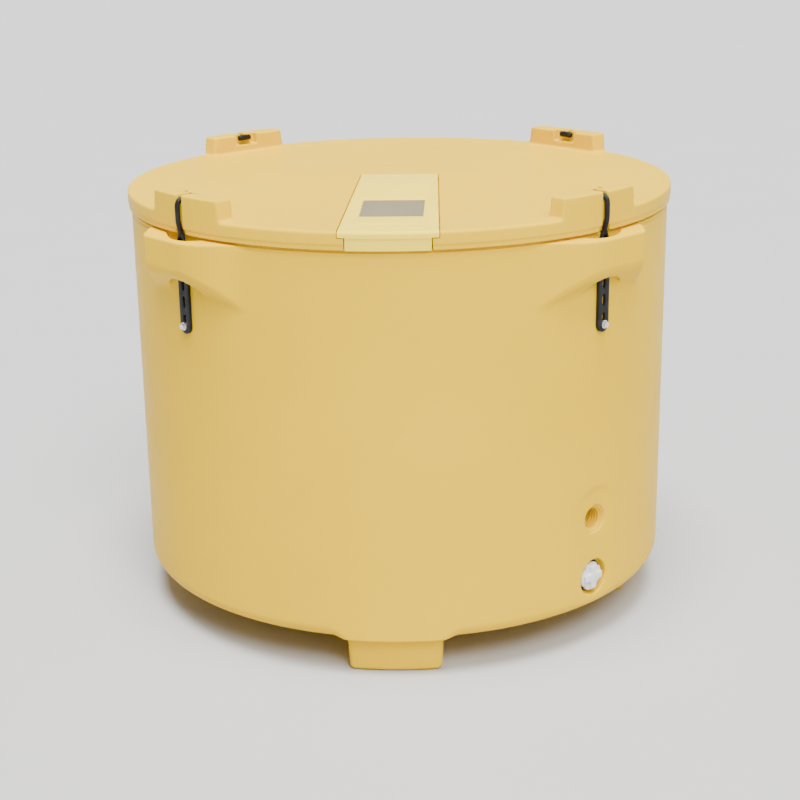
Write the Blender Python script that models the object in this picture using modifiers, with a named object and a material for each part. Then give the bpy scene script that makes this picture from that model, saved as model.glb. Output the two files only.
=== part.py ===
"""Round insulated tub with a lift-off lid, a lift-out hatch, four rubber straps and a drain plug.

Metres, +Z up. The floor is z = 0, the origin is under the middle of the tub, and the front faces -Y.
A piece that stands on the wall is drawn as if at the front, with X along the wall and -Y outward, and
its parent empty turns it about Z to its azimuth, which is measured from -Y towards +X.
"""
import math

import bmesh
import bpy
from mathutils import Matrix

# Overall
SEGMENTS = 48                # facets of the large turned shapes
GAP = 0.0003                 # between pieces that touch
FOAM_GAP = 0.0004            # between the foam and the skins round it
REACH = 0.02                 # how far a cutter runs past what it cuts
STAGGER = 0.0003             # keeps joined shapes from sharing a plane

# Heights
BASE_Z = 0.080
SHOULDER_Z = 0.885
RIM_Z = 0.897
LID_MIDDLE_Z = 0.925
LID_TOP_Z = 0.935
BLOCK_TOP_Z = 0.977

# Tub
TUB_R = 0.5933
SKIN = 0.007
BASE_FILLET = 0.030
SHOULDER_FILLET = 0.004
LINER_R = 0.540
FLOOR_Z = 0.112
FLOOR_FILLET = 0.022
BASE_PLATE_R = 0.550         # the base and the floor are discs inside the two skins' rings
FLOOR_PLATE_R = 0.510
NECK_R = 0.588
RIM_CHAMFER = 0.003
SEAL_R = 0.556               # inner radius of the rim's seal groove
SEAL_WIDTH = 0.010
SEAL_DEPTH = 0.0045

# Feet
FOOT_HALF_WIDTH = 0.100
FOOT_OUTER_R = 0.568
FOOT_INNER_Y = 0.400
SIDE_FOOT_OUTER_X = 0.510
SIDE_FOOT_INNER_X = 0.350
SIDE_FOOT_HALF_LENGTH = 0.155
FOOT_EDGE = 0.012
FOOT_SKIN = 0.008
APRON_FLARE = 0.012          # how far the base is filled out past a foot's side
APRON_OVERLAP = 0.004        # how far an apron runs into the skin round it
APRON_INSET = 0.0022         # keeps the aprons just inside the wall's facets
APRON_CLEARANCE = 0.001      # between the aprons and the foam
FOOT_HOLLOW_INSET = 0.014    # from a foot's side to the hollow in it
FOAM_STUB_INSET = 0.015
STUB_OVERLAP = 0.004
FOOT_CORNER_R = 0.020
CENTRE_FOOT_HALF_LENGTH = 0.090

# Lugs and straps
CORNERS = (45, 135, -135, -45)
LUG_HALF_ANGLE = 12.7
LUG_FACE_Y = 0.625
LUG_FACE_HALF_WIDTH = 0.099
LUG_FACE_LOW_Z = 0.825
LUG_ROOT_LOW_Z = 0.767
POCKET_HALF_WIDTH = 0.058
POCKET_DEPTH = 0.026
POCKET_FULLNESS = 0.7        # below 1, the pocket keeps its depth nearer to its ends
LUG_ROOT_R = 0.585           # inside the wall, to which the lugs are then cut back
POCKET_ROOT_R = 0.585        # the pockets go right through a lug, back to the wall
STRAP_INNER_Y = TUB_R + GAP
STRAP_THICKNESS = 0.007
STRAP_HALF_WIDTH = 0.0165
STRAP_SCREW_Z = 0.707
STRAP_PIVOT_Z = 0.893
STRAP_SLOT_HALF_WIDTH = 0.004
STRAP_SLOT_HALF_HEIGHT = 0.013
STRAP_SLOT_R = 0.0038
STRAP_SLOTS = 4
STRAP_FIRST_SLOT = 0.032     # above the screw
STRAP_SLOT_PITCH = 0.039
STRAP_NECK = 0.014
STRAP_NECK_HALF_WIDTH = 0.006
CORD_R = 0.00525
CORD_Y = 0.5975
CORD_BEND = 0.015
TOGGLE_R = 0.0065
TOGGLE_HALF_LENGTH = 0.0185
TOGGLE_Y = 0.5600
TOGGLE_Z = 0.968

# Strap screw, washer and insert, along the radius
SCREW_R = 0.004
SCREW_TIP_Y = 0.578
SCREW_FLANGE_R = 0.0085
SCREW_FLANGE = 0.0018
SCREW_HEX_R = 0.0066
SCREW_HEX = 0.005
WASHER_THICKNESS = 0.0015
INSERT_R = 0.006
INSERT_BORE_R = 0.0043
INSERT_LENGTH = 0.0174

# Lid
LID_R = 0.600
LID_EDGE = 0.011
LID_SKIN = 0.007
LID_WALL_R = 0.592           # the inner side of the lid's wall
BLOCK_R = 0.598
BLOCK_INNER_Y = 0.557
BLOCK_HALF_ANGLE = 9.5
GROOVE_HALF_WIDTH = 0.0145
GROOVE_Y = 0.586
SLOT_HALF_WIDTH = 0.006
SLOT_LOW_Z = 0.9605
RECESS_HALF_WIDTH = 0.0315
RECESS_Y = 0.567
RECESS_LOW_Z = 0.952
RIB_OUTER_R = 0.532
RIB_INNER_R = 0.522
RIB_LOW_Z = 0.880
UNDER_SKIN = 0.006

# Hatch
HATCH_FRONT_HALF_WIDTH = 0.097
HATCH_REAR_HALF_WIDTH = 0.086
HATCH_REAR_Y = 0.040
HATCH_STEP = 0.014           # how far the flange reaches past the body below it
HATCH_STEP_Z = 0.9225
LEDGE_Z = 0.9205             # the lid's ledge under the hatch's flange
HATCH_CLEARANCE = 0.0015
HATCH_FRAME = 0.006          # the lid's wall round the hatch's opening
HATCH_SKIN = 0.006
HOLLOW_FRONT_Y = 0.586       # how far forward the hatch's hollow runs
FRAME_FRONT_Y = 0.588        # and the frame and the seal
PLATE_HALF_WIDTH = 0.0635
PLATE_FRONT_Y = -0.447
PLATE_REAR_Y = -0.273
PLATE_CORNER_R = 0.004
PLATE_THICKNESS = 0.0015
PLATE_RECESS = 0.0025
HATCH_SEAL_INSET = 0.002
HATCH_SEAL_WIDTH = 0.007
HATCH_SEAL_THICKNESS = 0.0014

# Port and drain
PORT_AZIMUTH = 45
PORT_Z = 0.281
DRAIN_Z = 0.149
PAD_Y = 0.5897               # the flat pad's distance from the tub's axis
PAD_R = 0.076
PAD_HALF_WIDTH = 0.072
PAD_LOW_Z = 0.098
BUSH_R = 0.030
BUSH_INNER_Y = 0.536
PORT_BORE_R = 0.0225
PORT_MOUTH_R = 0.0270
PORT_MOUTH_DEPTH = 0.006
DRAIN_BORE_R = 0.0239
DRAIN_MOUTH_R = 0.0244
DRAIN_MOUTH_DEPTH = 0.001
DRAIN_RECESS_R = 0.040
DRAIN_FLOOR_Y = 0.574
DRAIN_CUP_R = 0.047
DRAIN_CUP_Y = 0.566
PLUG_SHANK_R = 0.0236
PLUG_TIP_Y = 0.548
PLUG_HEAD_R = 0.031
PLUG_HEAD = 0.0075
PLUG_CHAMFER = 0.0015
PLUG_GRIP = 0.008
PLUG_GRIP_HALF_LENGTH = 0.026
PLUG_GRIP_HALF_WIDTH = 0.008
PLUG_SEAL_INNER_R = 0.0245
PLUG_SEAL_OUTER_R = 0.0295
PLUG_SEAL = 0.0021
FOAM_PLUG_R = 0.020
FOAM_PLUG_X = 0.225
FOAM_PLUG_Y = 0.225

# How far from the tub's axis the holes through its wall start and end
INSIDE_R = 0.500
BETWEEN_SKINS_R = 0.560
FOAM_INSERT_R = 0.574
OUTSIDE_R = TUB_R + REACH

YELLOW = (0.78, 0.58, 0.19)
PALE_YELLOW = (0.84, 0.70, 0.34)
FOAM = (0.86, 0.80, 0.62)
BLACK = (0.015, 0.015, 0.018)
GREY = (0.43, 0.38, 0.27)
WHITE = (0.86, 0.86, 0.84)
SILVER = (0.75, 0.75, 0.76)
BRASS = (0.72, 0.55, 0.24)
SEAL_GREY = (0.10, 0.10, 0.11)

MERGE = 0.0001
PARTS = "insulated_tub"
TOOLS = "cutters"


def clear_scene():
    for old in list(bpy.data.objects):
        bpy.data.objects.remove(old, do_unlink=True)
    for name in (PARTS, TOOLS):
        bpy.context.scene.collection.children.link(bpy.data.collections.new(name))


def azimuth_empties():
    """One empty for each direction that a wall piece may face, keyed by its azimuth."""
    empties = {}
    for azimuth in (0, 90, 180, -90) + CORNERS:
        empty = bpy.data.objects.new(f"azimuth_{azimuth}", None)
        empty.rotation_euler.z = math.radians(azimuth)
        bpy.context.scene.collection.objects.link(empty)
        empties[azimuth] = empty
    return empties


# Points

def arc(x, z, radius, start, end, steps):
    """Points on a circle, from one angle to another in degrees."""
    angles = [math.radians(start + (end - start) * i / steps) for i in range(steps + 1)]
    return [(x + radius * math.cos(a), z + radius * math.sin(a)) for a in angles]


def rounded_box(half_width, half_height, radius, x=0.0, y=0.0, steps=3):
    """A rectangle's outline with round corners."""
    points = []
    for turn, (sx, sy) in enumerate([(1, 1), (-1, 1), (-1, -1), (1, -1)]):
        corner = (x + sx * (half_width - radius), y + sy * (half_height - radius))
        points += arc(*corner, radius, 90 * turn, 90 * turn + 90, steps)
    return points


# Meshes

def finish_mesh(bm, name, place=Matrix()):
    """Welds and closes a bmesh, moves it to its place and returns it as a mesh."""
    bmesh.ops.remove_doubles(bm, verts=bm.verts, dist=1e-6)
    bmesh.ops.transform(bm, matrix=place, verts=bm.verts)
    bmesh.ops.recalc_face_normals(bm, faces=bm.faces)
    mesh = bpy.data.meshes.new(name)
    bm.to_mesh(mesh)
    bm.free()
    return mesh


def plate_mesh(name, outlines, low, high, place=Matrix()):
    """A flat outline, with any holes in it, between two heights."""
    curve = bpy.data.curves.new(name, "CURVE")
    curve.dimensions = "2D"
    curve.fill_mode = "BOTH"
    curve.extrude = (high - low) / 2
    for outline in outlines:
        spline = curve.splines.new("POLY")
        spline.points.add(len(outline) - 1)
        for point, (x, y) in zip(spline.points, outline):
            point.co = (x, y, 0, 1)
        spline.use_cyclic_u = True
    holder = bpy.data.objects.new(name, curve)
    bpy.context.scene.collection.objects.link(holder)
    evaluated = holder.evaluated_get(bpy.context.evaluated_depsgraph_get())
    flat = bpy.data.meshes.new_from_object(evaluated)
    bm = bmesh.new()
    bm.from_mesh(flat)
    bpy.data.objects.remove(holder)
    bpy.data.curves.remove(curve)
    return finish_mesh(bm, name, place @ Matrix.Translation((0, 0, (low + high) / 2)))


def box_mesh(name, low, high):
    """A box between two corners."""
    bm = bmesh.new()
    bmesh.ops.create_cube(bm, size=1)
    size = [b - a for a, b in zip(low, high)]
    middle = [(a + b) / 2 for a, b in zip(low, high)]
    return finish_mesh(bm, name, Matrix.Translation(middle) @ Matrix.Diagonal((*size, 1)))


def cylinder_mesh(name, radius, low, high, place=Matrix(), segments=32, top_radius=None):
    """A cylinder or cone along Z between two heights."""
    bm = bmesh.new()
    bmesh.ops.create_cone(
        bm,
        cap_ends=True,
        segments=segments,
        radius1=radius,
        radius2=radius if top_radius is None else top_radius,
        depth=high - low,
    )
    return finish_mesh(bm, name, place @ Matrix.Translation((0, 0, (low + high) / 2)))


def profile_mesh(name, points, closed):
    """A profile in the XZ plane for Screw."""
    mesh = bpy.data.meshes.new(name)
    edges = [(i, i + 1) for i in range(len(points) - 1)]
    if closed:
        edges.append((len(points) - 1, 0))
    mesh.from_pydata([(x, 0, z) for x, z in points], edges, [])
    return mesh


def disc_profile(name, radius, low, high):
    """The profile of a flat disc between two heights."""
    return profile_mesh(name, [(0, high), (radius, high), (radius, low), (0, low)], False)


OUTWARD = Matrix.Rotation(math.radians(90), 4, "X")     # local Z to -Y, local Y to Z


def outward_at(z):
    """Takes a shape drawn round Z to one that faces out from the front of the wall at a height."""
    return Matrix.Translation((0, 0, z)) @ OUTWARD


# Objects

def material(name, colour, roughness, metallic=0.0):
    made = bpy.data.materials.new(name)
    made.use_nodes = True
    shader = made.node_tree.nodes["Principled BSDF"]
    shader.inputs["Base Color"].default_value = (*colour, 1)
    shader.inputs["Roughness"].default_value = roughness
    shader.inputs["Metallic"].default_value = metallic
    return made


def part(name, mesh, colour, roughness=0.4, metallic=0.0, parent=None):
    """A piece of the object, with a material of its own."""
    made = bpy.data.objects.new(name, mesh)
    made.data.materials.append(material(name, colour, roughness, metallic))
    made.parent = parent
    bpy.data.collections[PARTS].objects.link(made)
    return made


def tool(name, mesh, parent=None):
    """A shape that only cuts or joins."""
    made = bpy.data.objects.new(name, mesh)
    made.hide_render = True
    made.display_type = "WIRE"
    made.parent = parent
    bpy.data.collections[TOOLS].objects.link(made)
    return made


def turn_profile(made, segments=SEGMENTS):
    screw = made.modifiers.new("turn", "SCREW")
    screw.steps = segments
    screw.render_steps = segments
    screw.use_merge_vertices = True
    screw.merge_threshold = MERGE


def boolean(made, operation, others):
    for other in others:
        step = made.modifiers.new(other.name, "BOOLEAN")
        step.operation = operation
        step.solver = "EXACT"
        step.object = other


def cut(made, *others):
    boolean(made, "DIFFERENCE", others)


def join(made, *others):
    boolean(made, "UNION", others)


# Tub

def shell_profile():
    """Round the base plate's edge, up the inside, over the shoulder and down the outside."""
    low = (TUB_R - BASE_FILLET, BASE_Z + BASE_FILLET)
    inside = [(BASE_PLATE_R, BASE_Z + SKIN)] + arc(*low, BASE_FILLET - SKIN, -90, 0, 2)
    shoulder = arc(TUB_R - SHOULDER_FILLET, SHOULDER_Z - SHOULDER_FILLET, SHOULDER_FILLET, 90, 0, 1)
    outside = arc(*low, BASE_FILLET, 0, -90, 3) + [(BASE_PLATE_R, BASE_Z)]
    return inside + [(TUB_R - SKIN, SHOULDER_Z)] + shoulder + outside


def liner_profile():
    """From the floor plate's edge up the inside of the inner skin, and back down its outer side."""
    corner = (LINER_R - FLOOR_FILLET, FLOOR_Z + FLOOR_FILLET)
    inside = [(FLOOR_PLATE_R, FLOOR_Z)] + arc(*corner, FLOOR_FILLET, -90, 0, 2)
    top = [(LINER_R, SHOULDER_Z), (LINER_R + SKIN, SHOULDER_Z)]
    outside = arc(*corner, FLOOR_FILLET + SKIN, 0, -90, 2)
    return inside + top + outside + [(FLOOR_PLATE_R, FLOOR_Z - SKIN)]


def rim_profile():
    """The flange on top of both skins, with its seal groove."""
    low = SHOULDER_Z + GAP
    inside = [(LINER_R, low), (LINER_R, RIM_Z - RIM_CHAMFER), (LINER_R + RIM_CHAMFER, RIM_Z)]
    groove = [
        (SEAL_R, RIM_Z),
        (SEAL_R, RIM_Z - SEAL_DEPTH),
        (SEAL_R + SEAL_WIDTH, RIM_Z - SEAL_DEPTH),
        (SEAL_R + SEAL_WIDTH, RIM_Z),
    ]
    edge = [(NECK_R - RIM_CHAMFER, RIM_Z), (NECK_R, RIM_Z - RIM_CHAMFER), (NECK_R, low)]
    return inside + groove + edge


def foam_profile():
    """The space between the two skins, a little smaller all round."""
    corner = (LINER_R - FLOOR_FILLET, FLOOR_Z + FLOOR_FILLET)
    low = (TUB_R - BASE_FILLET, BASE_Z + BASE_FILLET)
    inside = [(0, FLOOR_Z - SKIN - FOAM_GAP)] + arc(*corner, FLOOR_FILLET + SKIN + FOAM_GAP, -90, 0, 2)
    top_z = SHOULDER_Z - FOAM_GAP
    top = [(LINER_R + SKIN + FOAM_GAP, top_z), (TUB_R - SKIN - FOAM_GAP, top_z)]
    outside = arc(*low, BASE_FILLET - SKIN - FOAM_GAP, 0, -90, 2)
    return inside + top + outside + [(0, BASE_Z + SKIN + FOAM_GAP)]


def foot_shapes():
    """Each foot's name, azimuth and plan, as if at the front. An inset makes its hollow and its foam."""

    def end_foot(inset):
        half = FOOT_HALF_WIDTH - inset
        angle = math.degrees(math.asin(half / (FOOT_OUTER_R - inset)))
        front = arc(0, 0, FOOT_OUTER_R - inset, -90 - angle, -90 + angle, 4)
        return front + [(half, -FOOT_INNER_Y - inset), (-half, -FOOT_INNER_Y - inset)]

    def side_foot(inset):
        middle = -(SIDE_FOOT_OUTER_X + SIDE_FOOT_INNER_X) / 2
        depth = (SIDE_FOOT_OUTER_X - SIDE_FOOT_INNER_X) / 2
        return rounded_box(SIDE_FOOT_HALF_LENGTH - inset, depth - inset, FOOT_CORNER_R, 0, middle, 2)

    def centre_foot(inset):
        return rounded_box(FOOT_HALF_WIDTH - inset, CENTRE_FOOT_HALF_LENGTH - inset, FOOT_CORNER_R, 0, 0, 2)

    return [
        ("front", 0, end_foot),
        ("right", 90, side_foot),
        ("back", 180, end_foot),
        ("left", -90, side_foot),
        ("centre", 0, centre_foot),
    ]


def feet(empties):
    """The feet, and the hollows in them, which go on through the base and are returned."""
    hollows = []
    for name, azimuth, plan in foot_shapes():
        top = BASE_Z - GAP
        foot = part(f"foot_{name}", plate_mesh("foot", [plan(0)], 0, top), YELLOW, parent=empties[azimuth])
        low_edges = foot.modifiers.new("low_edges", "BEVEL")
        low_edges.width = FOOT_EDGE
        low_edges.segments = 1
        low_edges.limit_method = "VGROUP"
        group = foot.vertex_groups.new(name="low")
        group.add([v.index for v in foot.data.vertices if v.co.z < top / 2], 1, "REPLACE")
        low_edges.vertex_group = "low"
        weld = foot.modifiers.new("weld", "WELD")
        weld.merge_threshold = MERGE
        hollow_mesh = plate_mesh("hollow", [plan(FOOT_HOLLOW_INSET)], FOOT_SKIN, BASE_Z + SKIN + REACH)
        hollow = tool(f"foot_hollow_{name}", hollow_mesh, empties[azimuth])
        cut(foot, hollow)
        hollows.append(hollow)
    return hollows


def apron_tools(empties, name, extra=0.0):
    """The filled-out base over the front and back feet, where the wall runs straight down."""
    half = math.degrees(math.asin((FOOT_HALF_WIDTH + APRON_FLARE + extra) / TUB_R))
    plan = arc(0, 0, TUB_R - APRON_INSET + extra, -90 - half, -90 + half, 4)
    plan += arc(0, 0, TUB_R - BASE_FILLET - APRON_OVERLAP - extra, -90 + half, -90 - half, 2)
    aprons = []
    for azimuth in (0, 180):
        top = BASE_Z + BASE_FILLET + APRON_OVERLAP + extra
        mesh = plate_mesh(name, [plan], BASE_Z + 2 * STAGGER - extra, top)
        aprons.append(tool(f"{name}_{azimuth}", mesh, empties[azimuth]))
    return aprons


def lug_mesh():
    """A lug's block. Its underside slopes from its outer face down to its root in the wall."""
    root = LUG_ROOT_R
    half = math.radians(LUG_HALF_ANGLE)
    plan = [
        (-root * math.sin(half), -root * math.cos(half)),
        (-LUG_FACE_HALF_WIDTH, -LUG_FACE_Y),
        (LUG_FACE_HALF_WIDTH, -LUG_FACE_Y),
        (root * math.sin(half), -root * math.cos(half)),
        (0, -root),
    ]
    bm = bmesh.new()
    bm.from_mesh(plate_mesh("lug", [plan], LUG_ROOT_LOW_Z - REACH, SHOULDER_Z - STAGGER))
    run = LUG_FACE_Y - TUB_R
    rise = LUG_FACE_LOW_Z - LUG_ROOT_LOW_Z
    cut_faces = bmesh.ops.bisect_plane(
        bm,
        geom=bm.verts[:] + bm.edges[:] + bm.faces[:],
        plane_co=(0, -TUB_R, LUG_ROOT_LOW_Z),
        plane_no=(0, -rise, -run),
        clear_outer=True,
    )
    edges = [e for e in cut_faces["geom_cut"] if isinstance(e, bmesh.types.BMEdge)]
    bmesh.ops.holes_fill(bm, edges=edges)
    return finish_mesh(bm, "lug")


def pocket_mesh():
    """The lens-shaped pocket through a lug, between it and the wall."""
    inner = POCKET_ROOT_R
    half = math.degrees(math.asin(POCKET_HALF_WIDTH / inner))
    wall_side = arc(0, 0, inner, -90 + half, -90 - half, 4)
    count = 6
    outer_side = []
    for i in range(1, count):
        angle = math.radians(-90 - half + 2 * half * i / count)
        bulge = math.sin(math.pi * i / count) ** POCKET_FULLNESS
        radius = inner + POCKET_DEPTH * bulge
        outer_side.append((radius * math.cos(angle), radius * math.sin(angle)))
    return plate_mesh("pocket", [wall_side + outer_side], LUG_ROOT_LOW_Z - 2 * REACH, SHOULDER_Z + REACH)


def lugs(empties):
    """A lug at each corner, cut back to the wall, with its pocket."""
    lug = lug_mesh()
    pocket = pocket_mesh()
    wall_profile = disc_profile("wall", TUB_R + GAP, LUG_ROOT_LOW_Z - 2 * REACH, SHOULDER_Z + REACH)
    wall = tool("wall", wall_profile)
    turn_profile(wall)
    for number, azimuth in enumerate(CORNERS, 1):
        made = part(f"lug_{number}", lug.copy(), YELLOW, parent=empties[azimuth])
        cut(made, wall, tool(f"lug_pocket_{number}", pocket, empties[azimuth]))


def pad_tool(name, empties, inset, near):
    """A prism across the wall with the pad's outline, which has an arched top."""
    half = PAD_HALF_WIDTH - inset
    outline = [(max(-half, min(half, x)), z) for x, z in arc(0, PORT_Z, PAD_R - inset, 0, 180, 12)]
    outline += [(-half, PAD_LOW_Z + inset), (half, PAD_LOW_Z + inset)]
    return tool(name, plate_mesh(name, [outline], near, OUTSIDE_R, OUTWARD), empties[PORT_AZIMUTH])


def radial_tool(name, empties, azimuth, z, radius, near, far, segments=32):
    """A cylinder across the wall, between two distances from the tub's axis."""
    mesh = cylinder_mesh(name, radius, near, far, outward_at(z), segments)
    return tool(name, mesh, empties[azimuth])


def tub_base(hollows):
    """The flat middle of the base, with the hole that the foam is poured through."""
    made = part("tub_base", disc_profile("tub_base", BASE_PLATE_R - GAP, BASE_Z, BASE_Z + SKIN), YELLOW)
    turn_profile(made)
    fill_hole = cylinder_mesh("fill_hole", FOAM_PLUG_R + GAP, BASE_Z - REACH, BASE_Z + REACH)
    fill_hole.transform(Matrix.Translation((FOAM_PLUG_X, FOAM_PLUG_Y, 0)))
    cut(made, *hollows, tool("fill_hole", fill_hole))


def tub_shell(empties, hollows):
    made = part("tub_shell", profile_mesh("tub_shell", shell_profile(), True), YELLOW)
    turn_profile(made)
    join(made, *apron_tools(empties, "apron"))
    cut(made, *hollows)
    cut(made, pad_tool("pad_window", empties, 0, BETWEEN_SKINS_R))
    for number, azimuth in enumerate(CORNERS, 1):
        name = f"insert_hole_{number}"
        hole_r = INSERT_R + GAP
        cut(made, radial_tool(name, empties, azimuth, STRAP_SCREW_Z, hole_r, BETWEEN_SKINS_R, OUTSIDE_R, 16))


def port_pad(empties):
    """The panel of the wall with the port and the drain in it, flat outside."""
    made = part("port_pad", profile_mesh("port_pad", shell_profile(), True), YELLOW)
    turn_profile(made)
    boolean(made, "INTERSECT", [pad_tool("pad_panel", empties, GAP, BETWEEN_SKINS_R)])
    cut(made, pad_tool("pad_flat", empties, -STAGGER, PAD_Y))
    cup_far = PAD_Y - 4 * STAGGER
    join(made, radial_tool("drain_cup", empties, PORT_AZIMUTH, DRAIN_Z, DRAIN_CUP_R, DRAIN_CUP_Y, cup_far))
    for name, z, radius, near in (
        ("drain_recess", DRAIN_Z, DRAIN_RECESS_R, DRAIN_FLOOR_Y),
        ("port_hole", PORT_Z, BUSH_R + GAP, BETWEEN_SKINS_R),
        ("drain_hole", DRAIN_Z, BUSH_R + GAP, BETWEEN_SKINS_R),
    ):
        cut(made, radial_tool(name, empties, PORT_AZIMUTH, z, radius, near, OUTSIDE_R))


def tub_liner(empties):
    floor = part("tub_floor", disc_profile("tub_floor", FLOOR_PLATE_R - GAP, FLOOR_Z - SKIN, FLOOR_Z), YELLOW)
    turn_profile(floor)
    rim = part("tub_rim", profile_mesh("tub_rim", rim_profile(), True), YELLOW)
    turn_profile(rim)
    made = part("tub_liner", profile_mesh("tub_liner", liner_profile(), True), YELLOW)
    turn_profile(made)
    cut(made, pad_tool("liner_window", empties, 0, INSIDE_R))
    panel = part("liner_panel", profile_mesh("liner_panel", liner_profile(), True), YELLOW)
    turn_profile(panel)
    boolean(panel, "INTERSECT", [pad_tool("liner_panel_prism", empties, GAP, INSIDE_R)])
    for name, z in (("port", PORT_Z), ("drain", DRAIN_Z)):
        hole = radial_tool(
            f"liner_hole_{name}", empties, PORT_AZIMUTH, z, BUSH_R + GAP, INSIDE_R, BETWEEN_SKINS_R
        )
        cut(panel, hole)


def tub_foam(empties):
    made = part("tub_foam", profile_mesh("tub_foam", foam_profile(), False), FOAM, 0.9)
    turn_profile(made)
    for name, azimuth, plan in foot_shapes():
        mesh = plate_mesh("stub", [plan(FOAM_STUB_INSET)], FOOT_SKIN + FOAM_GAP, BASE_Z + SKIN + STUB_OVERLAP)
        join(made, tool(f"foam_stub_{name}", mesh, empties[azimuth]))
    cut(made, *apron_tools(empties, "apron_clearance", APRON_CLEARANCE))
    for name, z, radius in (("port", PORT_Z, BUSH_R), ("drain", DRAIN_Z, DRAIN_CUP_R)):
        hole_r = radius + 2 * FOAM_GAP
        cut(made, radial_tool(f"foam_hole_{name}", empties, PORT_AZIMUTH, z, hole_r, INSIDE_R, OUTSIDE_R))
    for number, azimuth in enumerate(CORNERS, 1):
        name = f"foam_insert_hole_{number}"
        hole_r = INSERT_R + FOAM_GAP
        cut(made, radial_tool(name, empties, azimuth, STRAP_SCREW_Z, hole_r, FOAM_INSERT_R, OUTSIDE_R, 16))


def rim_gasket():
    low = RIM_Z - SEAL_DEPTH + GAP
    inner = SEAL_R + GAP
    outer = SEAL_R + SEAL_WIDTH - GAP
    points = [(inner, low), (inner, RIM_Z), (outer, RIM_Z), (outer, low)]
    made = part("rim_gasket", profile_mesh("rim_gasket", points, True), SEAL_GREY, 0.7)
    turn_profile(made)


def foam_plug():
    mesh = cylinder_mesh("foam_plug", FOAM_PLUG_R, BASE_Z, BASE_Z + SKIN)
    made = part("foam_plug", mesh, YELLOW)
    made.location = (FOAM_PLUG_X, FOAM_PLUG_Y, 0)


def bush(name, empties, z, bore, mouth, mouth_depth, face_y):
    """A fitting through both skins, drawn round Z with its mouth up and turned to face outward."""
    points = [
        (bore, BUSH_INNER_Y),
        (bore, face_y - mouth_depth),
        (mouth, face_y),
        (BUSH_R, face_y),
        (BUSH_R, BUSH_INNER_Y),
    ]
    made = part(name, profile_mesh(name, points, True), YELLOW, parent=empties[PORT_AZIMUTH])
    turn_profile(made, 32)
    made.rotation_euler.x = math.radians(90)
    made.location.z = z


# Straps, their screws, washers and inserts

def strap_ladder(number, azimuth, empties):
    """The lower part of a strap: a flat ladder round the screw at its foot."""
    low = arc(0, STRAP_SCREW_Z, STRAP_HALF_WIDTH, 180, 360, 8)
    neck_z = STRAP_PIVOT_Z - GAP
    shoulder_z = neck_z - STRAP_NECK
    outline = low + [
        (STRAP_HALF_WIDTH, shoulder_z),
        (STRAP_NECK_HALF_WIDTH, neck_z),
        (-STRAP_NECK_HALF_WIDTH, neck_z),
        (-STRAP_HALF_WIDTH, shoulder_z),
    ]
    screw_hole = arc(0, STRAP_SCREW_Z, SCREW_R + GAP, 0, 330, 11)
    slots = []
    for i in range(STRAP_SLOTS):
        middle = STRAP_SCREW_Z + STRAP_FIRST_SLOT + STRAP_SLOT_PITCH * i
        slots.append(rounded_box(STRAP_SLOT_HALF_WIDTH, STRAP_SLOT_HALF_HEIGHT, STRAP_SLOT_R, 0, middle, 1))
    far = STRAP_INNER_Y + STRAP_THICKNESS
    mesh = plate_mesh("strap_ladder", [outline, screw_hole] + slots, STRAP_INNER_Y, far, OUTWARD)
    part(f"strap_ladder_{number}", mesh, BLACK, 0.45, parent=empties[azimuth])


def cord_mesh():
    """The round cord of a strap, from its pivot up and over the block's wall."""
    bend = arc(-CORD_Y + CORD_BEND, TOGGLE_Z - CORD_BEND, CORD_BEND, 180, 90, 6)
    route = [(-CORD_Y, STRAP_PIVOT_Z + GAP), (-CORD_Y, LID_MIDDLE_Z)] + bend + [(-TOGGLE_Y, TOGGLE_Z)]
    curve = bpy.data.curves.new("cord", "CURVE")
    curve.dimensions = "3D"
    curve.bevel_depth = CORD_R
    curve.bevel_resolution = 3
    curve.use_fill_caps = True
    spline = curve.splines.new("POLY")
    spline.points.add(len(route) - 1)
    for point, (y, z) in zip(spline.points, route):
        point.co = (0, y, z, 1)
    holder = bpy.data.objects.new("cord", curve)
    bpy.context.scene.collection.objects.link(holder)
    evaluated = holder.evaluated_get(bpy.context.evaluated_depsgraph_get())
    tube = bpy.data.meshes.new_from_object(evaluated)
    bm = bmesh.new()
    bm.from_mesh(tube)
    bpy.data.objects.remove(holder)
    bpy.data.curves.remove(curve)
    to_pivot = Matrix.Translation((0, CORD_Y, -STRAP_PIVOT_Z))
    return finish_mesh(bm, "cord", to_pivot)


def strap_cord(number, azimuth, empties, cord):
    """The upper part of a strap with its cross bar, hung from an empty on the line where it bends."""
    pivot = bpy.data.objects.new(f"strap_pivot_{number}", None)
    pivot.parent = empties[azimuth]
    pivot.location = (0, -CORD_Y, STRAP_PIVOT_Z)
    bpy.context.scene.collection.objects.link(pivot)
    made = part(f"strap_cord_{number}", cord.copy(), BLACK, 0.45, parent=pivot)
    side = Matrix.Rotation(math.radians(90), 4, "Y")
    place = Matrix.Translation((0, CORD_Y - TOGGLE_Y, TOGGLE_Z - STRAP_PIVOT_Z)) @ side
    bar = cylinder_mesh("toggle", TOGGLE_R, -TOGGLE_HALF_LENGTH, TOGGLE_HALF_LENGTH, place, 16)
    join(made, tool(f"toggle_{number}", bar, pivot))


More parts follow.
